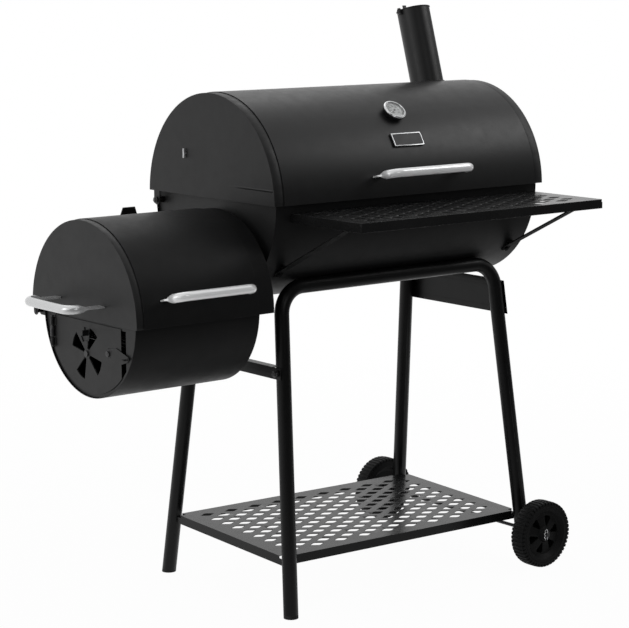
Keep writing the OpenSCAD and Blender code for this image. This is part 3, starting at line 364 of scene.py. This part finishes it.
END_BLACK = (0.0085, 0.0086, 0.0088)
# the barrel's black made darker, and duller below: painted shade on the firebox and the barrel's lower skin
FIREBOX_SHADED_BLACK = (0.0064, 0.0065, 0.0067)
INNER_BLACK = (0.007, 0.007, 0.007)
SHELF = (0.0066, 0.0067, 0.0069)
BRACE_BLACK = (0.0040, 0.0040, 0.0042)
OXIDE, RUBBED = (0.016, 0.016, 0.017), (0.20, 0.20, 0.20)
STEEL_AND_SHEEN_GREY, STEEL_AND_SHEEN_WHITE, BLACKENED = (0.68, 0.685, 0.69), (0.93, 0.935, 0.94), (0.055, 0.055, 0.057)
MAT = {
    "gauge_case": plated("gauge_bezel", (0.60, 0.605, 0.61), 0.22, 0.06, streak=0.3, black=above_case),
    "badge_rim": plated("badge_rim", (0.50, 0.505, 0.51), 0.26, 0.05, streak=0.6, black=above_badge),
    "barrel_paint": painted("paint_satin_black", (0.0074, 0.0075, 0.0077), 0.40, 0.05, spec=0.27, wave=0.16),
    "firebox_paint": painted("paint_firebox_shaded", FIREBOX_SHADED_BLACK, 0.46, 0.05, spec=0.14, peel=0.4, wave=0.14),
    "lid_end_paint": painted("paint_lid_ends", END_BLACK, 0.46, 0.05, spec=0.27, wave=0.10, crease=CREASE_Z),
    "brace_paint": painted("paint_braces", BRACE_BLACK, 0.70, 0.06, spec=0.05, peel=0.4, wear=0.5),
    "dark_steel": plated("blackened_steel", BLACKENED, 0.42, 0.08, streak=0.4, tint=0.1, metal=0.9),
    "end_paint": painted("paint_satin_black_ends", END_BLACK, 0.46, 0.05, spec=0.27, wave=0.10),
    "inner_paint": painted("paint_inside", INNER_BLACK, 0.62, 0.08, spec=0.2, peel=0.5, wave=0.10, wear=0.2),
    "stand_paint": painted("paint_stand", (0.0040, 0.0041, 0.0042), 0.36, 0.05, spec=0.18, peel=0.3),
    "shelf_paint": painted("paint_shelf", SHELF, 0.26, 0.04, spec=0.19, peel=0.25, wave=0.05, wear=0.4),
    "black_screws": painted("black_oxide", OXIDE, 0.36, 0.08, spec=0.4, peel=0.2, wear=0.8, worn=RUBBED),
    "bright_steel": plated("zinc_plate", (0.66, 0.67, 0.69), 0.30, 0.08, streak=0.4, tint=0.35),
    # the handles' steel is mostly matt here: its white and grey colour is a painted sheen for their bright
    # reflections, the end handle's a dimmer copy
    "chrome_tube": plated("steel_painted_sheen", STEEL_AND_SHEEN_WHITE, 0.18, 0.04, streak=0.2, metal=0.24, pits=0.2),
    "end_handle": plated("steel_painted_sheen_end", STEEL_AND_SHEEN_GREY, 0.20, 0.04, streak=0.04, metal=0.55, along=ALONG_Y),
    "dial_face": printed("dial_print", (0.40, 0.40, 0.39)),
    "needle_paint": painted("needle_black", (0.02, 0.02, 0.02), 0.5, 0.05, peel=0.1, wear=0.0),
    "clear_lens": clear("lens_glass"),
    "badge_metal": plated("badge_alloy", (0.74, 0.745, 0.75), 0.24, 0.05, streak=0.8),
    "wire_coating": enamel("wire_enamel", (0.030, 0.030, 0.032), 0.24),
    "rack_wire": rack_wire("rack_wire"),
    "pan_enamel": enamel("pan_enamel", (0.020, 0.020, 0.022), 0.26),
    "wheel_plastic": moulded("wheel_plastic", (0.0036, 0.0037, 0.0038), 0.50, spec=0.10, grain=0.35),
    "cap_plastic": moulded("foot_plastic", (0.009, 0.009, 0.009), 0.52, spec=0.2, grain=0.6),
}

# which nodes take another material than their slot's own
OTHER = {
    "lid_end_paint": ("lid_end_left",),
    "end_paint": (
        "lid_end_right", "barrel_end_left", "barrel_end_right", "firebox_lid_end", "firebox_door",
        "door_damper", "door_latch", "latch_keeper", "firebox_end_outer",
    ),
    "brace_paint": ("shelf_brace_left", "shelf_brace_right"),
    "black_screws": ("latch_rivet", "axle"),
    # the darker copy of the barrel's paint, as painted shade on these parts
    "firebox_paint": ("barrel_skin", "firebox_skin", "firebox_lid_skin", "firebox_hood"),
    "rack_wire": ("warming_rack",),
    "end_handle": ("firebox_end_handle",),
    "gauge_case": ("thermometer_case",),
    "badge_rim": ("badge_plate",),
    "dark_steel": ("cap_screw", "lid_pivot_bolts"),
    "inner_paint": ("grate_rails", "pan_ledges", "firebox_rails", "firebox_end_inner", "smoke_duct"),
}
SLOT = {s["node"]: s["material_slot"] for s in frame["record"]["subparts"]}
FINISH = {n: SLOT[n] for n in NODES}
for finish, nodes in OTHER.items():
    for n in nodes:
        FINISH[n] = finish
for n, o in NODES.items():
    for s in o.material_slots:
        s.material = MAT[FINISH[n]]


# ---------------------------------------------------------------- softened edges on the CAD nodes
WELD_DISTANCE = 0.00002  # metres


def soften(o, width, angle=38.0, segments=2):
    """Round a CAD node's sharp edges by a small width."""
    w = o.modifiers.new("weld", "WELD")
    w.merge_threshold = WELD_DISTANCE
    b = o.modifiers.new("edge", "BEVEL")
    b.width = width
    b.segments = segments
    b.limit_method = "ANGLE"
    b.angle_limit = math.radians(angle)
    b.harden_normals = True
    b.use_clamp_overlap = True
    b.miter_outer = "MITER_ARC"


USUAL_EDGE = 0.00035  # metres, as in the table below
EDGE = {
    "wheel_front": 0.0007, "wheel_rear": 0.0007, "leg_end_caps": 0.0012,
    "badge_plate": 0.0004, "thermometer_case": 0.0005, "stand_bolts": 0.0005, "lid_pivot_bolts": 0.0005,
    "shelf_brace_left": 0.0005, "shelf_brace_right": 0.0005,
}
# rolled sheets, round wires and the small dial parts keep their edges
PLAIN = (
    "barrel_skin", "lid_skin", "firebox_skin", "firebox_lid_skin", "firebox_hood", "chimney_pipe",
    "thermometer_lens", "thermometer_dial", "axle_clips", "warming_rack",
    "cooking_grate_left", "cooking_grate_right", "firebox_grate",
)
for n, o in NODES.items():
    if n not in PLAIN:
        soften(o, EDGE.get(n, USUAL_EDGE))


# ---------------------------------------------------------------- mesh helpers
def sharpen(me, angle):
    """Smooth faces, with edges sharper than an angle marked sharp."""
    me.polygons.foreach_set("use_smooth", [True] * len(me.polygons))
    limit = math.cos(math.radians(angle))
    bm = bmesh.new()
    bm.from_mesh(me)
    for e in bm.edges:
        if len(e.link_faces) == 2:
            e.smooth = e.link_faces[0].normal.dot(e.link_faces[1].normal) > limit
    bm.to_mesh(me)
    bm.free()


def made(name, bm, mat, body, smooth=35.0):
    """Turn a bmesh into a named piece with its material, on its body."""
    me = bpy.data.meshes.new(name)
    bmesh.ops.recalc_face_normals(bm, faces=bm.faces)
    bm.to_mesh(me)
    bm.free()
    o = bpy.data.objects.new(name, me)
    bpy.context.scene.collection.objects.link(o)
    me.materials.append(MAT[mat] if isinstance(mat, str) else mat)
    if smooth:
        sharpen(me, smooth)
    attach(o, body)
    return o


def basis(centre, normal, turn=0.0):
    """A matrix whose Z is the normal, at a place."""
    z = normal.normalized()
    x = Vector((1, 0, 0)) if abs(z.x) < 0.9 else Vector((0, 1, 0))
    y = z.cross(x).normalized()
    x = y.cross(z)
    m = Matrix((x, y, z)).transposed().to_4x4()
    m.translation = centre
    return m @ Matrix.Rotation(turn, 4, "Z")


def turned(radius, angle, height):
    """A place at a radius, an angle and a height about Z."""
    return Vector((radius * math.cos(angle), radius * math.sin(angle), height))


def ring_of(bm, m, radius, height, seg):
    """A ring of vertices about the matrix's Z, or its one middle vertex where the radius is nothing."""
    if radius < 1e-7:
        return [bm.verts.new(m @ Vector((0, 0, height)))]
    return [bm.verts.new(m @ turned(radius, 2 * math.pi * k / seg, height)) for k in range(seg)]


def lathe(bm, profile, seg, m):
    """A closed revolve of (radius, height) points about the matrix's Z."""
    rings = [ring_of(bm, m, r, h, seg) for r, h in profile]
    for a, b in zip(rings, rings[1:]):
        for k in range(seg):
            q = [a[k % len(a)], a[(k + 1) % len(a)], b[(k + 1) % len(b)], b[k % len(b)]]
            q = [v for i, v in enumerate(q) if v not in q[:i]]
            if len(q) > 2:
                bm.faces.new(q)


def hex_bolt(bm, centre, normal, across, high, turn=0.0):
    """Flanged hexagon head: washer face, chamfered hexagon."""
    m = basis(centre, normal, turn)
    step = high * 0.2
    flange = [(0, 0), (across * 0.78, 0), (across * 0.80, high * 0.10), (across * 0.72, step), (0, step)]
    lathe(bm, flange, 32, m)
    corner = across / 2 / math.cos(math.pi / 6)
    low = ring_of(bm, m, corner, step, 6)
    mid = ring_of(bm, m, corner, high * 0.88, 6)
    top = ring_of(bm, m, corner * 0.86, high, 6)
    for k in range(6):
        j = (k + 1) % 6
        bm.faces.new((low[k], low[j], mid[j], mid[k]))
        bm.faces.new((mid[k], mid[j], top[j], top[k]))
    bm.faces.new(top)
    bm.faces.new(low[::-1])


def bead(bm, path, radius, closed=False, seg=8, ripple=0.18, pitch=0.0035):
    """A weld bead or wire along a path, with the ripple of the pool."""
    n = len(path)
    rings, run = [], 0.0
    for i, p in enumerate(path):
        a = path[(i - 1) % n] if closed or i else path[0]
        b = path[(i + 1) % n] if closed or i < n - 1 else path[-1]
        t = (b - a).normalized()
        if i:
            run += (p - path[i - 1]).length
            u = (prev_u - t * prev_u.dot(t)).normalized()
        else:
            u = t.orthogonal().normalized()
        prev_u = u
        v = t.cross(u)
        r = radius * (1 + ripple * math.sin(2 * math.pi * run / pitch))
        around = [2 * math.pi * k / seg for k in range(seg)]
        rings.append([bm.verts.new(p + (u * math.cos(w) + v * math.sin(w)) * r) for w in around])
    for a, b in zip(rings, rings[1:] + ([rings[0]] if closed else [])):
        for k in range(seg):
            bm.faces.new((a[k], a[(k + 1) % seg], b[(k + 1) % seg], b[k]))
    if not closed:
        bm.faces.new(rings[0][::-1])
        bm.faces.new(rings[-1])


# ---------------------------------------------------------------- thermometer print
UP = (Vector((0, 0, 1)) - GN * GN.z).normalized()  # up the lid
RIGHT = UP.cross(GN)
FIRST_MARK, LAST_MARK, MARK_STEP = 45, 315, 9  # degrees of the scale, clockwise from the bottom
MARKS_PER_NUMBER = 5
FACE = 0.0101  # height of the dial's face over the lid, in metres, as are the radii and the numbers' size
ZONE_IN, ZONE_OUT = 0.0140, 0.0167
MARK_IN, LONG_MARK_IN, SCALE_R = 0.0187, 0.0176, 0.0200
NUMBER_R, NUMBER_SIZE = 0.0111, 0.0041


def dial(r, a, h=FACE):
    """A place on the dial, a degrees clockwise from the bottom."""
    t = math.radians(a)
    return GAUGE + GN * h + (RIGHT * -math.sin(t) + UP * -math.cos(t)) * r


def arc_band(bm, r0, r1, a0, a1, steps, h0=FACE - 0.0001, h1=FACE + 0.0002):
    """A thin raised band on the dial between two radii and two angles."""
    corners = ((r0, h0), (r1, h0), (r1, h1), (r0, h1))
    prev = None
    for i in range(steps + 1):
        a = a0 + (a1 - a0) * i / steps
        cur = [bm.verts.new(dial(r, a, h)) for r, h in corners]
        if prev:
            for k in range(4):
                bm.faces.new((prev[k], prev[(k + 1) % 4], cur[(k + 1) % 4], cur[k]))
        else:
            bm.faces.new(cur)
        prev = cur
    bm.faces.new(prev[::-1])


def dial_zone(number, shade, tone, a0, a1):
    """One plain grey zone of the dial."""
    bm = bmesh.new()
    arc_band(bm, ZONE_IN, ZONE_OUT, a0, a1, 24)
    made("dial_zone_%d" % number, bm, printed("zone_" + shade, tone), "barrel_lid", 0)


def dial_scale():
    """The scale's line and its marks, a longer one at each number."""
    bm = bmesh.new()
    arc_band(bm, SCALE_R, 0.0203, FIRST_MARK, LAST_MARK, 60)
    for i in range((LAST_MARK - FIRST_MARK) // MARK_STEP + 1):
        a = FIRST_MARK + MARK_STEP * i
        inner, half = (LONG_MARK_IN, 0.9) if i % MARKS_PER_NUMBER == 0 else (MARK_IN, 0.45)
        arc_band(bm, inner, SCALE_R, a - half, a + half, 1)
    made("dial_scale", bm, INK, "barrel_lid", 0)


def dial_number(label, angle):
    """A number on the dial, upright along the lid."""
    cu = bpy.data.curves.new("dial_number_" + label, "FONT")
    cu.body = label
    cu.size = NUMBER_SIZE
    cu.align_x, cu.align_y = "CENTER", "CENTER"
    cu.extrude = 0.00008
    o = bpy.data.objects.new("dial_number_" + label, cu)
    bpy.context.scene.collection.objects.link(o)
    m = Matrix((RIGHT, UP, GN)).transposed().to_4x4()
    m.translation = dial(NUMBER_R, angle, FACE + 0.0001)
    o.matrix_world = m
    cu.materials.append(INK)
    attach(o, "barrel_lid")


INK = painted("dial_ink", (0.03, 0.03, 0.03), 0.5, 0.05, peel=0.1, wear=0.0)
dial_zone(1, "dark", (0.13, 0.13, 0.128), 55, 150)
dial_zone(2, "middle", (0.28, 0.28, 0.275), 152, 222)
dial_zone(3, "pale", (0.56, 0.56, 0.55), 224, 305)
dial_scale()
for i in range(7):
    dial_number(str(100 * (i + 1)), FIRST_MARK + MARK_STEP * MARKS_PER_NUMBER * i)


# ---------------------------------------------------------------- badge: a dark field in the bright border
FIELD_LENGTH, FIELD_WIDTH = 78.8, 26.3
FIELD_BACK, FIELD_FACE = 4.25, 4.5  # heights over the lid


def badge_field(bm):
    """A thin curved plate, concentric with the lid."""
    nx, ny = 16, 10
    half = math.degrees(FIELD_WIDTH / 2 / LID_R)
    grid = []
    for r in (LID_R + FIELD_BACK, LID_R + FIELD_FACE):
        rows = []
        for j in range(ny + 1):
            angle = BADGE_ANGLE - half + 2 * half * j / ny
            across = [BADGE_X + (i / nx - 0.5) * FIELD_LENGTH for i in range(nx + 1)]
            rows.append([bm.verts.new(on_drum(angle, x, r)[0]) for x in across])
        grid.append(rows)
    under, over = grid
    for j in range(ny):
        for i in range(nx):
            bm.faces.new((over[j][i], over[j][i + 1], over[j + 1][i + 1], over[j + 1][i]))
            bm.faces.new((under[j][i], under[j + 1][i], under[j + 1][i + 1], under[j][i + 1]))
    for j in (0, ny):
        for i in range(nx):
            bm.faces.new((under[j][i], under[j][i + 1], over[j][i + 1], over[j][i]))
    for i in (0, nx):
        for j in range(ny):
            bm.faces.new((under[j][i], under[j + 1][i], over[j + 1][i], over[j][i]))


FIELD = painted("badge_field", (0.006, 0.006, 0.0065), 0.34, 0.05, spec=0.2, peel=0.2, wear=0.0)
bm = bmesh.new()
badge_field(bm)
made("badge_field", bm, FIELD, "barrel_lid", 30)

# ---------------------------------------------------------------- fasteners
# each hexagon's width over its flats, and its height, in metres
NUT, PIVOT_HEAD, STAND_HEAD = (0.010, 0.005), (0.009, 0.003), (0.010, 0.0045)
PIVOT_X = LID_HALF + 4.2  # where the pivots' heads sit
BAR_Z, PANEL_Z = 518.5, 578  # height of the angle bar's bolts, and of the side panel's lower edge
BAR_OUT, PANEL_OUT = 0.0241, 0.0210  # how far outside the legs' lines their bolts sit, in metres
PANEL_BOLTS = (16, 60)  # heights of the side panel's bolts over its lower edge

bm = bmesh.new()
for x in (-HANDLE_HALF, HANDLE_HALF):  # handle nuts inside the barrel lid
    c, n = on_drum(HANDLE_ANGLE, HANDLE_X + x, LID_R - SHEET)
    hex_bolt(bm, c, -n, *NUT, turn=0.3)
made("handle_nuts", bm, "bright_steel", "barrel_lid", 30)

bm = bmesh.new()
for x in (-SMALL_HALF, SMALL_HALF):  # firebox handle nuts inside the small lid
    c, n = on_drum(SMALL_ANGLE, SMALL_X + x, FB_LID_R - SHEET, FB_Y, FB_Z)
    hex_bolt(bm, c, -n, *NUT, turn=0.1)
made("small_handle_nuts", bm, "bright_steel", "firebox_lid", 30)

bm = bmesh.new()
for x in (-PIVOT_X, PIVOT_X):  # hexagon heads on the lid's pivots
    hex_bolt(bm, P(x, PIVOT_Y, PIVOT_Z), Vector((math.copysign(1, x), 0, 0)), *PIVOT_HEAD, turn=0.4)
made("pivot_heads", bm, "dark_steel", "stand", 30)

bm = bmesh.new()  # heads of the bolts through the angle bar and the side panel
along = Vector((-math.sin(LEG_SPLAY), 0, math.cos(LEG_SPLAY)))
for side in (-1, 1):
    out = Vector((-math.cos(LEG_SPLAY), 0, math.sin(LEG_SPLAY)))
    c = P(-leg_x(BAR_Z), side * leg_y(BAR_Z), BAR_Z) + out * BAR_OUT
    hex_bolt(bm, c, out, *STAND_HEAD, turn=0.2)
    out = Vector((math.cos(LEG_SPLAY), 0, math.sin(LEG_SPLAY)))
    for h in PANEL_BOLTS:
        c = P(leg_x(PANEL_Z), side * leg_y(PANEL_Z + h), PANEL_Z) + along * (h / 1000)
        hex_bolt(bm, c + out * PANEL_OUT, out, *STAND_HEAD, turn=0.5)
made("stand_bolt_heads", bm, "black_screws", "stand", 30)


# ---------------------------------------------------------------- hairpin clips and washers on the axle
def hairpin(y):
    """A clip's wire in the plane at y: the straight leg, the turn and the waved leg."""
    pin = [P(AXLE_X, y, AXLE_Z - 10 + 2.0 * i) for i in range(10)]
    turn, wave = [], []
    for i in range(9):
        a = i * math.pi / 8
        turn.append(P(AXLE_X - 3.5 + 3.5 * math.cos(a), y, AXLE_Z + 10 + 3.5 * math.sin(a)))
    for i in range(24):
        a = 2 * math.pi * i / 9
        wave.append(P(AXLE_X - 7.4 + 1.6 * math.sin(a), y, AXLE_Z + 9 - 0.85 * i))
    return pin + turn + wave


CLIP_Y, WASHER_Y = 303.05, 300.3
CLIP_WIRE = 0.00095  # its radius, in metres
bm = bmesh.new()
for side in (-1, 1):
    bead(bm, hairpin(side * CLIP_Y), CLIP_WIRE, ripple=0.0)
made("hairpin_clips", bm, "bright_steel", "stand", 40)
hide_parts("axle_clips")

# the washer's section in metres: radius and height
WASHER = [
    (0.0043, 0), (0.0092, 0), (0.0095, 0.0003), (0.0095, 0.0011), (0.0092, 0.0014), (0.0043, 0.0014),
    (0.0043, 0),
]
bm = bmesh.new()
for side in (-1, 1):
    lathe(bm, WASHER, 40, basis(P(AXLE_X, side * WASHER_Y, AXLE_Z), Vector((0, side, 0))))
made("axle_washers", bm, "black_screws", "stand", 40)

# ---------------------------------------------------------------- tread lugs across the wheels' shoulders
LUGS = 48
# one lug's section: radius, half its angle, and depth from the wheel's side
LUG = ((67.0, 2.2, 0.0), (74.0, 2.3, 0.3), (76.4, 2.0, 3.0), (76.9, 2.0, 8.5), (67.0, 2.2, 9.0))


def lug(bm, middle, side, angle):
    """One lug on one shoulder of a wheel."""
    ring = []
    for r, half, depth in LUG:
        y = middle + side * (WHEEL_W / 2 - depth)
        for a in (math.radians(angle - half), math.radians(angle + half)):
            ring.append(bm.verts.new(P(AXLE_X + r * math.cos(a), y, AXLE_Z + r * math.sin(a))))
    for j in range(4):
        bm.faces.new((ring[2 * j], ring[2 * j + 1], ring[2 * j + 3], ring[2 * j + 2]))
    bm.faces.new((ring[8], ring[9], ring[1], ring[0]))
    bm.faces.new((ring[0], ring[2], ring[4], ring[6], ring[8]))
    bm.faces.new((ring[1], ring[9], ring[7], ring[5], ring[3]))


for end, middle in (("front", -WHEEL_MID), ("rear", WHEEL_MID)):
    bm = bmesh.new()
    for side in (-1, 1):
        for k in range(LUGS):
            lug(bm, middle, side, 360 / LUGS * k)
    made(end + "_lugs", bm, "wheel_plastic", end + "_wheel", 30)


# ---------------------------------------------------------------- weld bead under the paint
def chimney_foot(steps=160):
    """The line where the leaning pipe meets the round lid."""
    lean = math.radians(90 + CHIMNEY_LEAN)
    axis = Vector((0, -math.cos(lean), math.sin(lean)))
    side_on = Vector((0, math.sin(lean), math.cos(lean)))
    line = []
    for k in range(steps):
        t = 2 * math.pi * k / steps
        u, v = (CHIMNEY_R + 1.0) * math.cos(t), (CHIMNEY_R + 1.0) * math.sin(t)
        at = axis * math.sqrt((LID_R + 0.6) ** 2 - v * v) + side_on * v
        line.append(P(CHIMNEY_X + u, at.y, AXIS_Z + at.z))
    return line


WELD_R, WELD_PITCH = 0.0017, 0.0036  # metres
bm = bmesh.new()
bead(bm, chimney_foot(), WELD_R, closed=True, pitch=WELD_PITCH)
made("chimney_weld", bm, "barrel_paint", "barrel_lid", 60)

# ---------------------------------------------------------------- camera
AZIMUTH, ELEVATION, ROLL = math.radians(-38.66), math.radians(9.41), math.radians(-0.18)
CAMERA_AT, LENS = Vector((-2.7875, -3.5395, 1.368)), 119.5
cam_d = bpy.data.cameras.new("camera")
cam = bpy.data.objects.new("camera", cam_d)
bpy.context.scene.collection.objects.link(cam)
flat = math.cos(ELEVATION)
back = Vector((math.sin(AZIMUTH) * flat, -math.cos(AZIMUTH) * flat, math.sin(ELEVATION)))
right = Vector((math.cos(AZIMUTH), math.sin(AZIMUTH), 0))
up = back.cross(right)
r2 = right * math.cos(ROLL) + up * math.sin(ROLL)
u2 = up * math.cos(ROLL) - right * math.sin(ROLL)
m = Matrix((r2, u2, back)).transposed().to_4x4()
m.translation = CAMERA_AT
cam.matrix_world = m
cam_d.lens = LENS
cam_d.sensor_width = 36.0
cam_d.sensor_fit = "HORIZONTAL"
cam_d.clip_start = 0.05
cam_d.clip_end = 300.0
bpy.context.scene.camera = cam


# ---------------------------------------------------------------- floor
FLOOR_R, FLOOR_DROP = 90.0, 0.0003  # metres
SHADOW_PART = 0.03  # how much of the floor's own shading shows near the object


def floor_material():
    """A pale floor that the camera and mirrors see white, but for a faint shadow."""
    s = Net("floor_pale")
    patch = s.ramp(s.noise(0.8, 3.0, 0.5), 0.3, 0.7)
    s.put("Base Color", s.mix(patch, (0.80, 0.80, 0.80), (0.84, 0.84, 0.84)))
    s.put("Roughness", 0.9)
    s.put("Specular IOR Level", 0.1)
    glow = s.n("ShaderNodeEmission")
    glow.inputs["Color"].default_value = (1, 1, 1, 1)
    rays = s.n("ShaderNodeLightPath")
    away = s.n("ShaderNodeVectorMath", operation="LENGTH")
    s.link(s.co, away.inputs[0])
    plain = s.ramp(away.outputs["Value"], 1.0, 3.0, 1.0 - SHADOW_PART, 1.0)
    depth = s.ramp(s.axes()["Y"], -1.2, 0.5, 0.09, 1.0)  # dimmer in mirrors towards the front
    mirror = s.math("MAXIMUM", rays.outputs["Is Glossy Ray"], rays.outputs["Is Transmission Ray"])
    power = s.math("ADD", rays.outputs["Is Camera Ray"], s.math("MULTIPLY", mirror, depth))
    s.link(power, glow.inputs["Strength"])
    seen = s.math("MAXIMUM", rays.outputs["Is Camera Ray"], mirror)
    blend = s.n("ShaderNodeMixShader")
    s.link(s.math("MULTIPLY", seen, plain), blend.inputs["Fac"])
    s.link(s.b.outputs["BSDF"], blend.inputs[1])
    s.link(glow.outputs["Emission"], blend.inputs[2])
    s.link(blend.outputs["Shader"], s.out.inputs["Surface"])
    return s.m


bm = bmesh.new()
bmesh.ops.create_circle(bm, cap_ends=True, segments=96, radius=FLOOR_R)
me = bpy.data.meshes.new("floor")
bm.to_mesh(me)
bm.free()
floor = bpy.data.objects.new("floor", me)
floor.location.z = -FLOOR_DROP
bpy.context.scene.collection.objects.link(floor)
me.materials.append(floor_material())

# ---------------------------------------------------------------- world
world = bpy.data.worlds.new("studio")
bpy.context.scene.world = world
world.use_nodes = True
tree = world.node_tree
sky = tree.nodes["Background"]
sky.inputs["Color"].default_value = (1, 1, 1, 1)
rays = tree.nodes.new("ShaderNodeLightPath")


def wmath(op, a, b):
    """A math node in the world's tree."""
    n = tree.nodes.new("ShaderNodeMath")
    n.operation = op
    for s, v in zip(n.inputs, (a, b)):
        if isinstance(v, (int, float)):
            s.default_value = v
        else:
            tree.links.new(v, s)
    return n.outputs[0]


def wramp(src, lo, hi, x, y):
    """A soft step in the world's tree, from x at lo to y at hi."""
    n = tree.nodes.new("ShaderNodeMapRange")
    n.interpolation_type = "SMOOTHSTEP"
    for k, v in zip(("From Min", "From Max", "To Min", "To Max"), (lo, hi, x, y)):
        n.inputs[k].default_value = v
    tree.links.new(src, n.inputs["Value"])
    return n.outputs["Result"]


# what mirrors see is a white studio behind and beside the object, and a dim room in front of it
DIM_ROOM, DIM_RIGHT = 0.045, 0.35  # how much of the white is left in that room, and at the far right
FILL_FRONT, FILL_REAR = 0.38, 0.62  # how strong the light on matt surfaces is from the front and the rear
where = tree.nodes.new("ShaderNodeTexCoord")
way = tree.nodes.new("ShaderNodeSeparateXYZ")
tree.links.new(where.outputs["Generated"], way.inputs[0])
mirror = wmath("MAXIMUM", rays.outputs["Is Glossy Ray"], rays.outputs["Is Transmission Ray"])
front_dims = wramp(way.outputs["Y"], -0.75, -0.41, DIM_ROOM, 1.0)
right_dims = wramp(way.outputs["X"], 0.80, 0.98, 1.0, DIM_RIGHT)
room = wmath("MULTIPLY", front_dims, right_dims)
fill = wramp(way.outputs["Y"], -0.8, 0.6, FILL_FRONT, FILL_REAR)
soft = wmath("MULTIPLY", rays.outputs["Is Diffuse Ray"], fill)
strength = wmath("ADD", rays.outputs["Is Camera Ray"], wmath("ADD", wmath("MULTIPLY", mirror, room), soft))
tree.links.new(strength, sky.inputs["Strength"])


# ---------------------------------------------------------------- lamps
def lamp(name, place, aim, size, power):
    """A soft box at a place, turned to an aim."""
    d = bpy.data.lights.new(name, "AREA")
    d.shape = "RECTANGLE"
    d.size, d.size_y = size
    d.energy = power
    d.spread = math.radians(180.0)
    o = bpy.data.objects.new(name, d)
    bpy.context.scene.collection.objects.link(o)
    o.location = place
    o.rotation_mode = "QUATERNION"
    o.rotation_quaternion = (Vector(aim) - Vector(place)).to_track_quat("-Z", "Y")


lamp("softbox_top", (0.6, 1.6, 3.2), (0.1, 0.0, 0.8), (2.6, 1.5), 12.0)
lamp("softbox_right", (1.42, -0.74, 1.86), (0.55, -0.2, 1.0), (0.8, 0.65), 5.2)
lamp("softbox_left", (-3.2, 0.2, 1.7), (0.0, 0.0, 0.7), (1.5, 2.0), 14.0)
lamp("softbox_front", (-0.6, -3.8, 2.4), (0.1, 0.0, 0.7), (1.6, 1.2), 12.0)

sc = bpy.context.scene
sc.view_settings.view_transform = "Standard"
